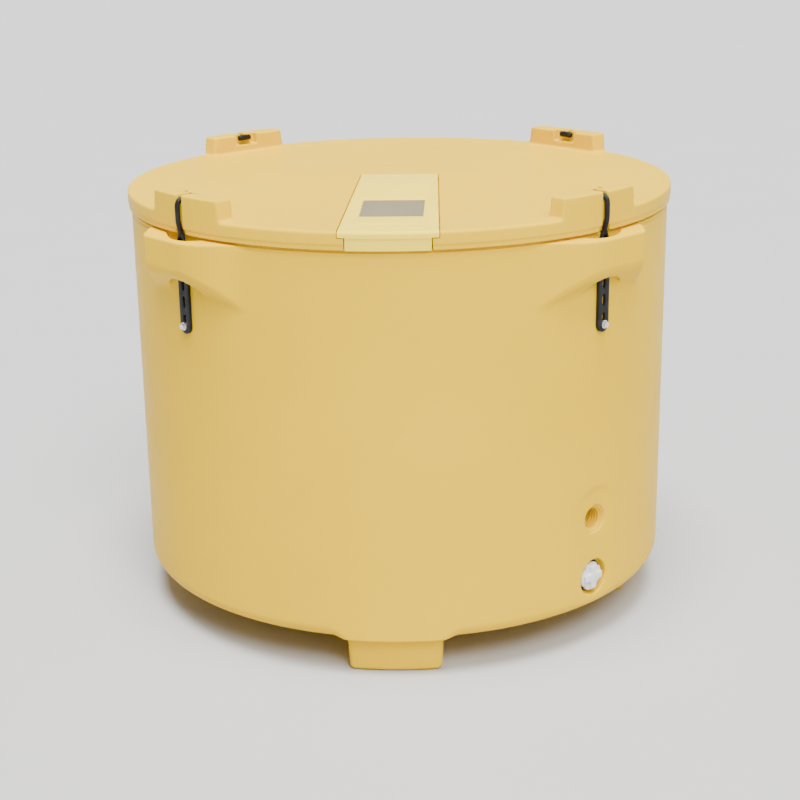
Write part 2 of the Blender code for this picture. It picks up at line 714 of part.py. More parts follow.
def strap_screw(number, azimuth, empties):
    washer_y = STRAP_INNER_Y + STRAP_THICKNESS + GAP
    head_y = washer_y + WASHER_THICKNESS + GAP
    place = outward_at(STRAP_SCREW_Z)
    flange = cylinder_mesh("flange", SCREW_FLANGE_R, head_y, head_y + SCREW_FLANGE, place, 24)
    made = part(f"strap_screw_{number}", flange, SILVER, 0.25, 1.0, empties[azimuth])
    inside_y = head_y + SCREW_FLANGE / 2
    hexagon = cylinder_mesh("hexagon", SCREW_HEX_R, inside_y, head_y + SCREW_FLANGE + SCREW_HEX, place, 6)
    shank = cylinder_mesh("shank", SCREW_R, SCREW_TIP_Y, inside_y, place, 16)
    join(made, tool(f"hexagon_{number}", hexagon, empties[azimuth]))
    join(made, tool(f"shank_{number}", shank, empties[azimuth]))
    bore = SCREW_R + GAP
    far = washer_y + WASHER_THICKNESS
    ring = [(bore, washer_y), (bore, far), (SCREW_FLANGE_R, far), (SCREW_FLANGE_R, washer_y)]
    small_turned(f"strap_washer_{number}", ring, SILVER, empties[azimuth], STRAP_SCREW_Z)
    face = TUB_R - GAP
    sleeve = [
        (INSERT_BORE_R, face - INSERT_LENGTH),
        (INSERT_BORE_R, face),
        (INSERT_R, face),
        (INSERT_R, face - INSERT_LENGTH),
    ]
    small_turned(f"strap_insert_{number}", sleeve, BRASS, empties[azimuth], STRAP_SCREW_Z)


def small_turned(name, points, colour, parent, z):
    """A small metal ring that faces outward from the wall at a height."""
    made = part(name, profile_mesh(name, points, True), colour, 0.3, 1.0, parent)
    turn_profile(made, 16)
    made.rotation_euler.x = math.radians(90)
    made.location.z = z


# Lid

def lid_profile():
    """The lid's top skin and its side wall, open below."""
    edge = arc(LID_R - LID_EDGE, LID_TOP_Z - LID_EDGE, LID_EDGE, 90, 0, 3)
    low = RIM_Z + GAP
    inside = [(0, LID_TOP_Z - LID_SKIN), (LID_WALL_R, LID_TOP_Z - LID_SKIN), (LID_WALL_R, low)]
    return (inside + [(LID_R, low)] + edge[::-1] + [(0, LID_TOP_Z)])[::-1]


def hatch_plan(shrink, front=LID_R + REACH):
    """The hatch's tapered plan, made smaller on all sides but the front, which ends at y = -front."""
    rear_y = HATCH_REAR_Y - shrink
    taper = (HATCH_FRONT_HALF_WIDTH - HATCH_REAR_HALF_WIDTH) / (HATCH_REAR_Y + LID_R)
    front_half = HATCH_REAR_HALF_WIDTH - shrink + taper * (HATCH_REAR_Y + front)
    rear_half = HATCH_REAR_HALF_WIDTH - shrink + taper * shrink
    return [(-front_half, -front), (front_half, -front), (rear_half, rear_y), (-rear_half, rear_y)]


def round_front(name, radius, low, high):
    """A disc that trims a piece's front end to the lid's round edge."""
    return tool(name, cylinder_mesh(name, radius, low, high, segments=SEGMENTS))


def block_mesh():
    half = math.radians(BLOCK_HALF_ANGLE)
    plan = arc(0, 0, BLOCK_R, -90 - BLOCK_HALF_ANGLE, -90 + BLOCK_HALF_ANGLE, 4)
    inner_x = BLOCK_INNER_Y * math.tan(half)
    plan += [(inner_x, -BLOCK_INNER_Y), (-inner_x, -BLOCK_INNER_Y)]
    return plate_mesh("block", [plan], RIM_Z + GAP + 2 * STAGGER, BLOCK_TOP_Z)


def lid_shell(empties):
    made = part("lid_shell", profile_mesh("lid_shell", lid_profile(), False), YELLOW)
    turn_profile(made)
    frame_plan = hatch_plan(-HATCH_CLEARANCE - HATCH_FRAME, front=FRAME_FRONT_Y)
    frame = plate_mesh("frame", [frame_plan], RIM_Z + GAP + STAGGER, LID_TOP_Z - STAGGER)
    join(made, tool("hatch_frame", frame))
    block = block_mesh()
    for number, azimuth in enumerate(CORNERS, 1):
        pillar = tool(f"block_{number}", block, empties[azimuth])
        join(made, pillar)
    for number, azimuth in enumerate(CORNERS, 1):
        for name, low, high in block_cuts():
            cut(made, tool(f"{name}_{number}", box_mesh(name, low, high), empties[azimuth]))
    upper = plate_mesh("upper_opening", [hatch_plan(-HATCH_CLEARANCE)], LEDGE_Z, LID_TOP_Z + REACH)
    lower_shrink = HATCH_STEP - HATCH_CLEARANCE
    lower = plate_mesh("lower_opening", [hatch_plan(lower_shrink)], RIM_Z - REACH, LID_TOP_Z)
    cut(made, tool("upper_opening", upper), tool("lower_opening", lower))


def block_cuts():
    """The groove down a block's outer face, the slot through its wall and the recess behind it."""
    boxes = []
    for name, half, outer_y, inner_y, low in (
        ("groove", GROOVE_HALF_WIDTH, LID_R + REACH, GROOVE_Y, RIM_Z - REACH),
        ("slot", SLOT_HALF_WIDTH, LID_R, RECESS_Y - STAGGER, SLOT_LOW_Z),
        ("recess", RECESS_HALF_WIDTH, RECESS_Y, BLOCK_INNER_Y - REACH, RECESS_LOW_Z),
    ):
        boxes.append((name, (-half, -outer_y, low), (half, -inner_y, BLOCK_TOP_Z + REACH)))
    return boxes


def clear_hatch(made, extra, low, high):
    """Cuts a piece of the lid clear of the hatch's frame."""
    plan = hatch_plan(-HATCH_CLEARANCE - HATCH_FRAME - extra)
    cut(made, tool(f"{made.name}_frame", plate_mesh("clear", [plan], low, high)))


def lid_openings(made, empties, extra, low, high):
    """Cuts a sealed lid piece clear of the hatch's frame and of the blocks' pillars."""
    clear_hatch(made, extra, low, high)
    half = BLOCK_R * math.sin(math.radians(BLOCK_HALF_ANGLE)) + extra
    for number, azimuth in enumerate(CORNERS, 1):
        clear = box_mesh("clear", (-half, -LID_R - REACH, low), (half, -BLOCK_INNER_Y + extra, high))
        cut(made, tool(f"{made.name}_block_{number}", clear, empties[azimuth]))


def lid_inner(empties):
    """The lid's under skin, the locating rib below it and the foam over it."""
    under_z = RIM_Z + GAP
    under_points = disc_profile("lid_under_skin", LID_WALL_R - GAP, under_z, under_z + UNDER_SKIN)
    under = part("lid_under_skin", under_points, YELLOW)
    turn_profile(under)
    lid_openings(under, empties, GAP, RIB_LOW_Z - REACH, LID_TOP_Z)
    top = under_z - GAP
    rib_points = [(RIB_OUTER_R, top), (RIB_OUTER_R, RIB_LOW_Z), (RIB_INNER_R, RIB_LOW_Z), (RIB_INNER_R, top)]
    rib = part("lid_rib", profile_mesh("lid_rib", rib_points, True), YELLOW)
    turn_profile(rib)
    clear_hatch(rib, GAP, RIB_LOW_Z - REACH, LID_TOP_Z)
    low = under_z + UNDER_SKIN + FOAM_GAP
    high = LID_TOP_Z - LID_SKIN - FOAM_GAP
    outer = LID_WALL_R - FOAM_GAP
    points = [(0, high), (outer, high), (outer, low), (0, low)]
    foam = part("lid_foam", profile_mesh("lid_foam", points, False), FOAM, 0.9)
    turn_profile(foam)
    lid_openings(foam, empties, FOAM_GAP, RIM_Z, LID_TOP_Z)


# Hatch

def hatch():
    low = RIM_Z + 2 * GAP
    upper = plate_mesh("hatch_shell", [hatch_plan(0)], HATCH_STEP_Z, LID_TOP_Z)
    made = part("hatch_shell", upper, PALE_YELLOW)
    lower = plate_mesh("hatch_lower", [hatch_plan(HATCH_STEP)], low, HATCH_STEP_Z + STAGGER)
    join(made, tool("hatch_lower", lower))
    trim = made.modifiers.new("front", "BOOLEAN")
    trim.operation = "INTERSECT"
    trim.solver = "EXACT"
    trim.object = round_front("hatch_front", LID_R, RIM_Z - REACH, LID_TOP_Z + REACH)
    inset = HATCH_STEP + HATCH_SKIN
    ceiling = LID_TOP_Z - PLATE_RECESS - HATCH_SKIN
    hollow = plate_mesh("hatch_hollow", [hatch_plan(inset, front=HOLLOW_FRONT_Y)], low - REACH, ceiling)
    seat_middle = (PLATE_FRONT_Y + PLATE_REAR_Y) / 2
    seat_half = (PLATE_REAR_Y - PLATE_FRONT_Y) / 2
    seat = rounded_box(PLATE_HALF_WIDTH + GAP, seat_half + GAP, PLATE_CORNER_R, 0, seat_middle, 2)
    seat_mesh = plate_mesh("plate_seat", [seat], LID_TOP_Z - PLATE_RECESS, LID_TOP_Z + REACH)
    cut(made, tool("hatch_hollow", hollow), tool("plate_seat", seat_mesh))

    under_plan = hatch_plan(inset + GAP, front=HOLLOW_FRONT_Y - GAP)
    under = plate_mesh("hatch_under_plate", [under_plan], low, low + UNDER_SKIN)
    part("hatch_under_plate", under, PALE_YELLOW)
    foam_plan = hatch_plan(inset + FOAM_GAP, front=HOLLOW_FRONT_Y - FOAM_GAP)
    foam_low = low + UNDER_SKIN + FOAM_GAP
    part("hatch_foam", plate_mesh("hatch_foam", [foam_plan], foam_low, ceiling - FOAM_GAP), FOAM, 0.9)

    badge = rounded_box(PLATE_HALF_WIDTH, seat_half, PLATE_CORNER_R, 0, seat_middle, 2)
    badge_low = LID_TOP_Z - PLATE_RECESS + GAP
    part("id_plate", plate_mesh("id_plate", [badge], badge_low, badge_low + PLATE_THICKNESS), GREY, 0.5)


def hatch_gasket():
    """A U-shaped strip on the ledge, round both sides and the rear of the hatch."""
    low = LEDGE_Z + GAP
    outer = hatch_plan(HATCH_SEAL_INSET, front=FRAME_FRONT_Y)
    inner = hatch_plan(HATCH_SEAL_INSET + HATCH_SEAL_WIDTH)
    strip = plate_mesh("hatch_gasket", [outer], low, low + HATCH_SEAL_THICKNESS)
    made = part("hatch_gasket", strip, SEAL_GREY, 0.7)
    cut(made, tool("hatch_gasket_inner", plate_mesh("inner", [inner], low - REACH, low + REACH)))


# Drain plug

def drain_plug(empties):
    seal_y = DRAIN_FLOOR_Y + GAP
    ring = [
        (PLUG_SEAL_INNER_R, seal_y),
        (PLUG_SEAL_INNER_R, seal_y + PLUG_SEAL),
        (PLUG_SEAL_OUTER_R, seal_y + PLUG_SEAL),
        (PLUG_SEAL_OUTER_R, seal_y),
    ]
    front = empties[PORT_AZIMUTH]
    gasket = part("drain_gasket", profile_mesh("drain_gasket", ring, True), SEAL_GREY, 0.7, parent=front)
    turn_profile(gasket, 32)
    gasket.rotation_euler.x = math.radians(90)
    gasket.location.z = DRAIN_Z

    head_y = seal_y + PLUG_SEAL + GAP
    face_y = head_y + PLUG_HEAD
    points = [
        (0, face_y),
        (PLUG_HEAD_R - PLUG_CHAMFER, face_y),
        (PLUG_HEAD_R, face_y - PLUG_CHAMFER),
        (PLUG_HEAD_R, head_y),
        (PLUG_SHANK_R, head_y),
        (PLUG_SHANK_R, PLUG_TIP_Y),
        (0, PLUG_TIP_Y),
    ]
    plug = part("drain_plug", profile_mesh("drain_plug", points, False), WHITE, 0.3, parent=front)
    turn_profile(plug, 32)
    plug.rotation_euler.x = math.radians(90)
    plug.location.z = DRAIN_Z
    for name, half_x, half_z in (
        ("plug_grip", PLUG_GRIP_HALF_LENGTH, PLUG_GRIP_HALF_WIDTH),
        ("plug_cross_grip", PLUG_GRIP_HALF_WIDTH, PLUG_GRIP_HALF_LENGTH),
    ):
        low = (-half_x, -face_y - PLUG_GRIP, DRAIN_Z - half_z)
        high = (half_x, -face_y + PLUG_CHAMFER, DRAIN_Z + half_z)
        join(plug, tool(name, box_mesh(name, low, high), front))


def main():
    clear_scene()
    empties = azimuth_empties()
    hollows = feet(empties)
    tub_base(hollows)
    tub_shell(empties, hollows)
    port_pad(empties)
    lugs(empties)
    tub_liner(empties)
    tub_foam(empties)
    rim_gasket()
    foam_plug()
    bush("port_bush", empties, PORT_Z, PORT_BORE_R, PORT_MOUTH_R, PORT_MOUTH_DEPTH, PAD_Y - GAP)
    bush("drain_bush", empties, DRAIN_Z, DRAIN_BORE_R, DRAIN_MOUTH_R, DRAIN_MOUTH_DEPTH, DRAIN_FLOOR_Y - GAP)
    cord = cord_mesh()
    for number, azimuth in enumerate(CORNERS, 1):
        strap_ladder(number, azimuth, empties)
        strap_cord(number, azimuth, empties, cord)
        strap_screw(number, azimuth, empties)
    lid_shell(empties)
    lid_inner(empties)
    hatch()
    hatch_gasket()
    drain_plug(empties)


main()
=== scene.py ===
"""Looks of the round insulated tub: smooth moulded surfaces, rubber straps and the plug, round the frame.

Metres, +Z up, the front faces -Y. A corner piece is drawn at the front, where "out" is the distance
towards -Y, and is then turned about Z to its azimuth, measured from -Y towards +X.
"""
import math

import bmesh
import bpy
import numpy as np
from mathutils import Matrix, Vector


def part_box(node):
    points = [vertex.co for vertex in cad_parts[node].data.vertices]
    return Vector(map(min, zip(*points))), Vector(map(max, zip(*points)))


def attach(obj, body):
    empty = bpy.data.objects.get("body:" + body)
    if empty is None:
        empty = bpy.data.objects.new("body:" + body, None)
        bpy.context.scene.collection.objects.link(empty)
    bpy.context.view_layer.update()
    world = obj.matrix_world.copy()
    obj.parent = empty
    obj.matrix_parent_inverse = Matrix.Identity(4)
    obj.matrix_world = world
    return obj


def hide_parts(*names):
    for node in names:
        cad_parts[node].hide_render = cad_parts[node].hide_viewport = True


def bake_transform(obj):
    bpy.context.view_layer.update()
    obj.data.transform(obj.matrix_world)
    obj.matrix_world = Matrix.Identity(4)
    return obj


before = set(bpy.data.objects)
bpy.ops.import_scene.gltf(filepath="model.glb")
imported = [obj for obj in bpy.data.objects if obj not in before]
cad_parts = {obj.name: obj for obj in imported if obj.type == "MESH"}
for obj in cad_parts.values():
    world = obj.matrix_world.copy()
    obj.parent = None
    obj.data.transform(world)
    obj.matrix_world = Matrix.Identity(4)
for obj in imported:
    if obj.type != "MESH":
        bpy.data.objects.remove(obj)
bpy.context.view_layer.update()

# Camera, in the object's frame
CAMERA_DISTANCE = 3.6721
CAMERA_ELEVATION = 0.1817
CAMERA_PAN = 0.0015
CAMERA_TILT = -0.1261
CAMERA_ROLL = 0.0152
CAMERA_AZIMUTH = math.radians(2.2)
CAMERA_LENS = 73.13

WELD = 2e-5

# Driving dimensions, from the frame
CORNERS = (45, 135, -135, -45)
TUB_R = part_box("tub_shell")[1].x
SHOULDER_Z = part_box("tub_shell")[1].z
BASE_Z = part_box("foam_plug")[0].z
RIM_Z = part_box("tub_rim")[1].z
LID_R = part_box("lid_shell")[1].x
LID_LOW_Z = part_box("lid_shell")[0].z
BLOCK_TOP_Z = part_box("lid_shell")[1].z
LID_TOP_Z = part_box("hatch_shell")[1].z
PLATE_LOW, PLATE_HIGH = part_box("id_plate")
SCREW_Z = sum(p.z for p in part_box("strap_screw_1")) / 2
PORT_Z = sum(p.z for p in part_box("port_bush")) / 2
DRAIN_Z = sum(p.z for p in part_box("drain_plug")) / 2
PORT_AZIMUTH = 45

# Tub
TUB_CELL = 0.0028
SHOULDER_EDGE = 0.0028
BASE_EDGE = 0.030
APRON_EDGE = 0.003
APRON_HALF_WIDTH = (0.098, 0.135)   # where the base's edge starts and ends its change of radius
BAND_SETBACK = 0.0012               # the band above the shoulder stands back by this much
NECK_SETBACK = 0.0045               # and the dark gap under the lid by this much more
NECK_LOW_Z = RIM_Z - 0.0045
SHELL_INNER_R = 0.5855
WINDOW_LOW_Z = 0.675
LINER_R = 0.540
LINER_FLOOR_Z = 0.112
LINER_FILLET = 0.022
SKIN = 0.007
SEAL_GROOVE = (0.556, 0.566)
SEAL_DEPTH = 0.0045
SEAL_R = 0.0022                     # of the gasket's rounded top

# Lugs
LUG_FACE = 0.625
LUG_HALF_WIDTH = 0.099
LUG_ROOT = (0.1304, 0.5787)         # half width and distance out where a lug's side meets the wall
LUG_SOFT_HALF_WIDTH = 0.078         # the same on the gentler side, towards the tub's front or back
LUG_SOFT_ROOT = (0.160, 0.5713)
LUG_FACE_LOW_Z = 0.819
LUG_ROOT_LOW_Z = 0.783
LUG_TOP_FALL = (0.0045, 0.011)      # from the rim down to a lug's top at the wall, and at its face
LUG_EDGE = 0.008
LUG_SOFT_EDGE = 0.030
LUG_FILLET = 0.006                  # where a lug meets the wall, and how much more at its two sides
LUG_MORE_FILLET = (0.026, 0.004)
POCKET_HALF_WIDTH = 0.064
POCKET_OUT = (0.585, 0.611)
POCKET_EDGE = 0.004
LUG_WINDOW = math.radians(20.5)

# Lid
LID_CELL = 0.0022
LID_EDGE = 0.0065
BLOCK_EDGE = 0.004
BLOCK_INNER = 0.551
BLOCK_HALF_ANGLE = math.radians(9.3)
BLOCK_LONGER = 0.016                # a block reaches further on the side of the tub's front or back
BLOCK_DRAFT = 0.15
GROOVE_HALF_WIDTH = 0.0145
GROOVE_TOP_HALF_WIDTH = 0.0078
GROOVE_STEP_Z = (0.903, 0.914)      # between these heights it narrows
GROOVE_RISE = 0.0105                # it is this much shallower above the strap's neck
GROOVE_RISE_Z = (0.906, 0.920)
GROOVE_OUT = 0.586
SLOT_HALF_WIDTH = 0.006
SLOT_Z = 0.9605
RECESS_HALF_WIDTH = 0.0315
RECESS_OUT = 0.567
RECESS_Z = 0.952
BEAD_Z = LID_LOW_Z + 0.0105
BEAD = 0.0013
LID_WINDOW = math.radians(13.8)
LID_INNER_R = 0.5396

# Hatch
HATCH_FRONT_HALF_WIDTH = 0.097
HATCH_REAR_HALF_WIDTH = 0.086
HATCH_REAR_Y = 0.040
HATCH_STEP = 0.014
HATCH_STEP_Z = 0.9225
LEDGE_Z = 0.9205
HATCH_CLEARANCE = 0.0020
HATCH_EDGE = 0.0016
HATCH_CHAMFER = 0.0012
FRONT_STEP = 0.0011                 # the hatch's front stands back by this much below its flange
CREASE_Y = -0.522
CREASE_HALF_LENGTH = 0.056
CREASE_R = 0.0028

# Port and drain
PAD_OUT = 0.5897
PAD_R = 0.076
PAD_LEDGE = 0.014
PAD_REACH = 0.2                     # azimuth from the port within which the wall is flattened
DRAIN_RECESS_R = 0.040
DRAIN_FLOOR_OUT = 0.574
DRAIN_CUP_R = 0.044
DRAIN_CUP_OUT = 0.566
PORT_R = 0.030
BUSH_HOLE_R = 0.0303
BUSH_INNER = 0.536
THREAD_CREST_R = 0.0226
THREAD_ROOT_R = 0.0256
THREAD_PITCH = 0.007
# The drain's black rubber gasket, its outer edge wider than the plug's head: partly the real gasket, partly
# painted shade, a black ring standing in for the shade in the gap round the head
GASKET_AND_SHADE_R = (0.0245, 0.0352)
GASKET_THICKNESS = 0.0019
PLUG_SEAT = DRAIN_FLOOR_OUT + 0.0027
SHANK_R = 0.0236
SHANK_INNER = 0.548

# Straps
STRAP_OUT = 0.5936
STRAP_THICKNESS = 0.007
STRAP_HALF_WIDTH = 0.0165
STRAP_PIVOT_Z = 0.893
CORD_R = 0.00525
CORD_OUT = 0.6035
CORD_BEND = 0.014
TOGGLE_R = 0.0065
TOGGLE_HALF_LENGTH = 0.0185
TOGGLE_OUT = 0.5600
TOGGLE_Z = 0.968


# Materials

def shader_material(name, colour, roughness, metallic=0.0):
    made = bpy.data.materials.new(name)
    made.use_nodes = True
    shader = made.node_tree.nodes["Principled BSDF"]
    shader.inputs["Base Color"].default_value = (*colour, 1)
    shader.inputs["Roughness"].default_value = roughness
    shader.inputs["Metallic"].default_value = metallic
    return made, made.node_tree, shader


def noise(tree, scale, detail=3.0, stretch=(1, 1, 1)):
    """A noise texture fixed to the object."""
    place = tree.nodes.new("ShaderNodeTexCoord")
    mapping = tree.nodes.new("ShaderNodeMapping")
    mapping.inputs["Scale"].default_value = stretch
    texture = tree.nodes.new("ShaderNodeTexNoise")
    texture.inputs["Scale"].default_value = scale
    texture.inputs["Detail"].default_value = detail
    tree.links.new(place.outputs["Object"], mapping.inputs["Vector"])
    tree.links.new(mapping.outputs["Vector"], texture.inputs["Vector"])
    return texture.outputs["Fac"]


def spread(tree, factor, low, high):
    """A value that runs from low to high over the middle of a noise's range."""
    node = tree.nodes.new("ShaderNodeMapRange")
    node.inputs["From Min"].default_value = 0.3
    node.inputs["From Max"].default_value = 0.7
    node.inputs["To Min"].default_value = low
    node.inputs["To Max"].default_value = high
    tree.links.new(factor, node.inputs["Value"])
    return node.outputs["Result"]


def vary_colour(tree, shader, factor, first, second):
    mix = tree.nodes.new("ShaderNodeMix")
    mix.data_type = "RGBA"
    mix.inputs["A"].default_value = (*first, 1)
    mix.inputs["B"].default_value = (*second, 1)
    tree.links.new(factor, mix.inputs["Factor"])
    tree.links.new(mix.outputs["Result"], shader.inputs["Base Color"])


def add_bump(tree, shader, heights):
    """Bumps one over another. Each height is a noise, its strength and its depth in metres."""
    normal = None
    for factor, strength, distance in heights:
        bump = tree.nodes.new("ShaderNodeBump")
        bump.inputs["Strength"].default_value = strength
        bump.inputs["Distance"].default_value = distance
        tree.links.new(factor, bump.inputs["Height"])
        if normal is not None:
            tree.links.new(normal, bump.inputs["Normal"])
        normal = bump.outputs["Normal"]
    tree.links.new(normal, shader.inputs["Normal"])


def moulded(name, colour, roughness=0.36, contrast=0.03):
    """Rotationally moulded polyethylene: faint clouds of colour, slow waves and a fine grain."""
    made, tree, shader = shader_material(name, colour, roughness)
    darker = [c * (1 - contrast) for c in colour]
    lighter = [min(1, c * (1 + contrast)) for c in colour]
    vary_colour(tree, shader, spread(tree, noise(tree, 3.0), 0, 1), darker, lighter)
    rough = spread(tree, noise(tree, 14.0), roughness - 0.05, roughness + 0.06)
    tree.links.new(rough, shader.inputs["Roughness"])
    add_bump(tree, shader, [(noise(tree, 7.0, 1.0), 0.25, 0.004), (noise(tree, 900.0, 2.0), 0.12, 0.0003)])
    shader.inputs["Specular IOR Level"].default_value = 0.04
    return made


def rubber(name, colour, roughness):
    made, tree, shader = shader_material(name, colour, roughness)
    dusty = [min(1, c * 1.9 + 0.004) for c in colour]
    vary_colour(tree, shader, spread(tree, noise(tree, 60.0, 5.0), 0, 1), colour, dusty)
    rough = spread(tree, noise(tree, 120.0), roughness - 0.08, roughness + 0.10)
    tree.links.new(rough, shader.inputs["Roughness"])
    add_bump(tree, shader, [(noise(tree, 700.0), 0.25, 0.0002)])
    shader.inputs["Specular IOR Level"].default_value = 0.18
    return made


def metal(name, colour, roughness, stretch):
    """Turned or brushed metal, with its marks along one way."""
    made, tree, shader = shader_material(name, colour, roughness, 1.0)
    marks = noise(tree, 500.0, 4.0, stretch)
    tree.links.new(spread(tree, marks, roughness - 0.08, roughness + 0.12), shader.inputs["Roughness"])
    vary_colour(tree, shader, spread(tree, marks, 0, 1), [c * 0.9 for c in colour], colour)
    add_bump(tree, shader, [(marks, 0.15, 0.0001)])
    return made


def foam(name, colour):
    made, tree, shader = shader_material(name, colour, 0.9)
    cells = noise(tree, 320.0, 5.0)
    vary_colour(tree, shader, spread(tree, cells, 0, 1), [c * 0.85 for c in colour], colour)
    add_bump(tree, shader, [(cells, 0.6, 0.0008)])
    return made


def satin_plate(name, colour):
    """The grey plate: a fine brushed grain across it, a little darker in clouds."""
    made, tree, shader = shader_material(name, colour, 0.42)
    grain = noise(tree, 90.0, 5.0, (1, 14, 1))
    clouds = noise(tree, 9.0, 3.0)
    darker, lighter = [c * 0.9 for c in colour], [c * 1.06 for c in colour]
    vary_colour(tree, shader, spread(tree, clouds, 0, 1), darker, lighter)
    tree.links.new(spread(tree, grain, 0.34, 0.52), shader.inputs["Roughness"])
    add_bump(tree, shader, [(grain, 0.2, 0.0002)])
    return made


YELLOW = moulded("yellow_polyethylene", (0.77, 0.475, 0.004))
PALE = moulded("pale_polyethylene", (0.93, 0.68, 0.045))
BLACK = rubber("black_rubber", (0.006, 0.006, 0.007), 0.42)
SEAL = rubber("seal_rubber", (0.06, 0.06, 0.065), 0.70)
STEEL = metal("bright_steel", (0.78, 0.78, 0.80), 0.24, (1, 1, 6))
BRASS = metal("turned_brass", (0.72, 0.52, 0.22), 0.30, (1, 1, 8))
FOAM = foam("insulating_foam", (0.84, 0.74, 0.50))
GREY = satin_plate("grey_plate", (0.22, 0.185, 0.105))
WHITE = moulded("white_nylon", (0.70, 0.70, 0.70), 0.24, 0.015)


# Points and meshes

def round_max(a, b, radius):
    """Two solids' common part, its edge rounded. Distances are negative inside."""
    over = np.hypot(np.maximum(a + radius, 0), np.maximum(b + radius, 0))
    return np.minimum(np.maximum(a, b), -radius) + over


def round_min(a, b, radius):
    """Two solids joined, with a fillet between them."""
    under = np.hypot(np.maximum(radius - a, 0), np.maximum(radius - b, 0))
    return np.maximum(np.minimum(a, b), radius) - under


def smoothstep(low, high, value):
    t = np.clip((value - low) / (high - low), 0, 1)
    return t * t * (3 - 2 * t)


def polar(angle, r, z):
    """World points from azimuths in radians, distances from the tub's axis, and heights."""
    return np.stack([r * np.sin(angle), -r * np.cos(angle), z + 0 * angle], axis=-1)


def turned(points, degrees):
    """Points turned about Z, azimuth growing from -Y towards +X."""
    c, s = math.cos(math.radians(degrees)), math.sin(math.radians(degrees))
    return points @ np.array([[c, s, 0], [-s, c, 0], [0, 0, 1]])


def grid_faces(rows, columns, closed=False, flip=False):
    """Quads of a grid whose points are numbered along its rows."""
    last = columns if closed else columns - 1
    k, i = np.meshgrid(np.arange(rows - 1), np.arange(last), indexing="ij")
    j = (i + 1) % columns
    quads = np.stack([k * columns + i, k * columns + j, (k + 1) * columns + j, (k + 1) * columns + i], -1)
    quads = quads.reshape(-1, 4)
    return quads[:, ::-1] if flip else quads


def surface_net(field, axes):
    """A field's zero surface on a grid: one point in each cell that it crosses, and quads between them.
    Returns the points, the quads, and each point's cell."""
    grid = np.meshgrid(*axes, indexing="ij")
    value = field(*grid)
    cells = [n - 1 for n in value.shape]
    total = np.zeros(cells + [3])
    count = np.zeros(cells)
    crossings = []
    for axis in range(3):
        low = [slice(None)] * 3
        high = [slice(None)] * 3
        low[axis] = slice(0, -1)
        high[axis] = slice(1, None)
        a, b = value[tuple(low)], value[tuple(high)]
        crossing = (a < 0) != (b < 0)
        t = np.where(crossing, a / np.where(crossing, a - b, 1), 0)
        point = np.stack([g[tuple(low)] for g in grid], -1)
        point[..., axis] += t * (grid[axis][tuple(high)] - grid[axis][tuple(low)])
        others = [n for n in range(3) if n != axis]
        for p in (0, 1):
            for q in (0, 1):
                part = [slice(None)] * 3
                part[others[0]] = slice(p, p + cells[others[0]])
                part[others[1]] = slice(q, q + cells[others[1]])
                part = tuple(part)
                total += np.where(crossing[part][..., None], point[part], 0)
                count += crossing[part]
        crossings.append((crossing, a < 0, others))
    used = count > 0
    number = -np.ones(cells, int)
    number[used] = np.arange(used.sum())
    points = total[used] / count[used][:, None]
    quads = []
    for axis, (crossing, inside, others) in enumerate(crossings):
        middle = [slice(None)] * 3
        for other in others:
            middle[other] = slice(1, cells[other])
        where = np.argwhere(crossing[tuple(middle)])
        for other in others:
            where[:, other] += 1
        corners = []
        for p, q in ((1, 1), (0, 1), (0, 0), (1, 0)):
            cell = where.copy()
            cell[:, others[0]] -= p
            cell[:, others[1]] -= q
            corners.append(number[tuple(cell.T)])
        faces = np.stack(corners, -1)
        outward = inside[tuple(where.T)]
        if axis == 1:
            outward = ~outward
        faces[~outward] = faces[~outward][:, ::-1]
        quads.append(faces)
    return points, np.concatenate(quads), np.argwhere(used)


def settle(points, distance, reach):
    """Moves points onto a solid's surface, none of them further than reach."""
    start = points.copy()
    h = 1e-4
    for _ in range(5):
        slope = np.zeros_like(points)
        for axis in range(3):
            step = np.zeros(3)
            step[axis] = h
            slope[:, axis] = (distance(*(points + step).T) - distance(*(points - step).T)) / (2 * h)
        size = np.maximum((slope ** 2).sum(1), 0.1)
        points = points - slope * (distance(*points.T) / size)[:, None]
        points = start + np.clip(points - start, -reach, reach)
    return points


def polar_net(distance, half_angle, r_range, z_range, cell):
    """A corner piece's surface on a polar grid. Its two end columns are exact turned profiles.
    Returns the points, the quads, the profile as (r, z) pairs, and the last column's azimuth."""
    columns = 2 * int(round(half_angle * TUB_R / cell)) + 1
    angles = np.linspace(-half_angle, half_angle, columns)
    radii = np.arange(r_range[0], r_range[1] + cell / 2, cell)
    heights = np.arange(z_range[0], z_range[1] + cell / 2, cell)

    def field(angle, r, z):
        return distance(r * np.sin(angle), r * np.cos(angle), z)

    net, quads, cells = surface_net(field, (angles, radii, heights))
    flat = np.stack([net[:, 1] * np.sin(net[:, 0]), net[:, 1] * np.cos(net[:, 0]), net[:, 2]], 1)
    flat = settle(flat, distance, cell)
    angle = np.arctan2(flat[:, 0], flat[:, 1])
    r = np.hypot(flat[:, 0], flat[:, 1])
    first = cells[:, 0] == 0
    profile = {tuple(c[1:]): (r[n], flat[n, 2]) for n, c in enumerate(cells) if first[n]}
    for column in (0, columns - 2):
        middle = (angles[column] + angles[column + 1]) / 2
        for n in np.nonzero(cells[:, 0] == column)[0]:
            angle[n] = middle
            r[n], flat[n, 2] = profile[tuple(cells[n, 1:])]
    # Azimuth, distance and height make a left-handed frame, so the quads are turned over.
    end = (angles[-2] + angles[-1]) / 2
    return polar(angle, r, flat[:, 2]), quads[:, ::-1], np.array(list(profile.values())), end


def corner_piece(net, quads, corner):
    """A corner piece turned to its azimuth, its gentler side towards the tub's front or back."""
    if corner in (135, -45):
        return turned(net * (-1, 1, 1), corner), quads[:, ::-1]
    return turned(net, corner), quads


def along(profile, centre):
    """A profile's points in order round a point inside it, starting and ending on its inner side."""
    angle = np.arctan2(profile[:, 1] - centre[1], profile[:, 0] - centre[0])
    return profile[np.argsort(angle)]


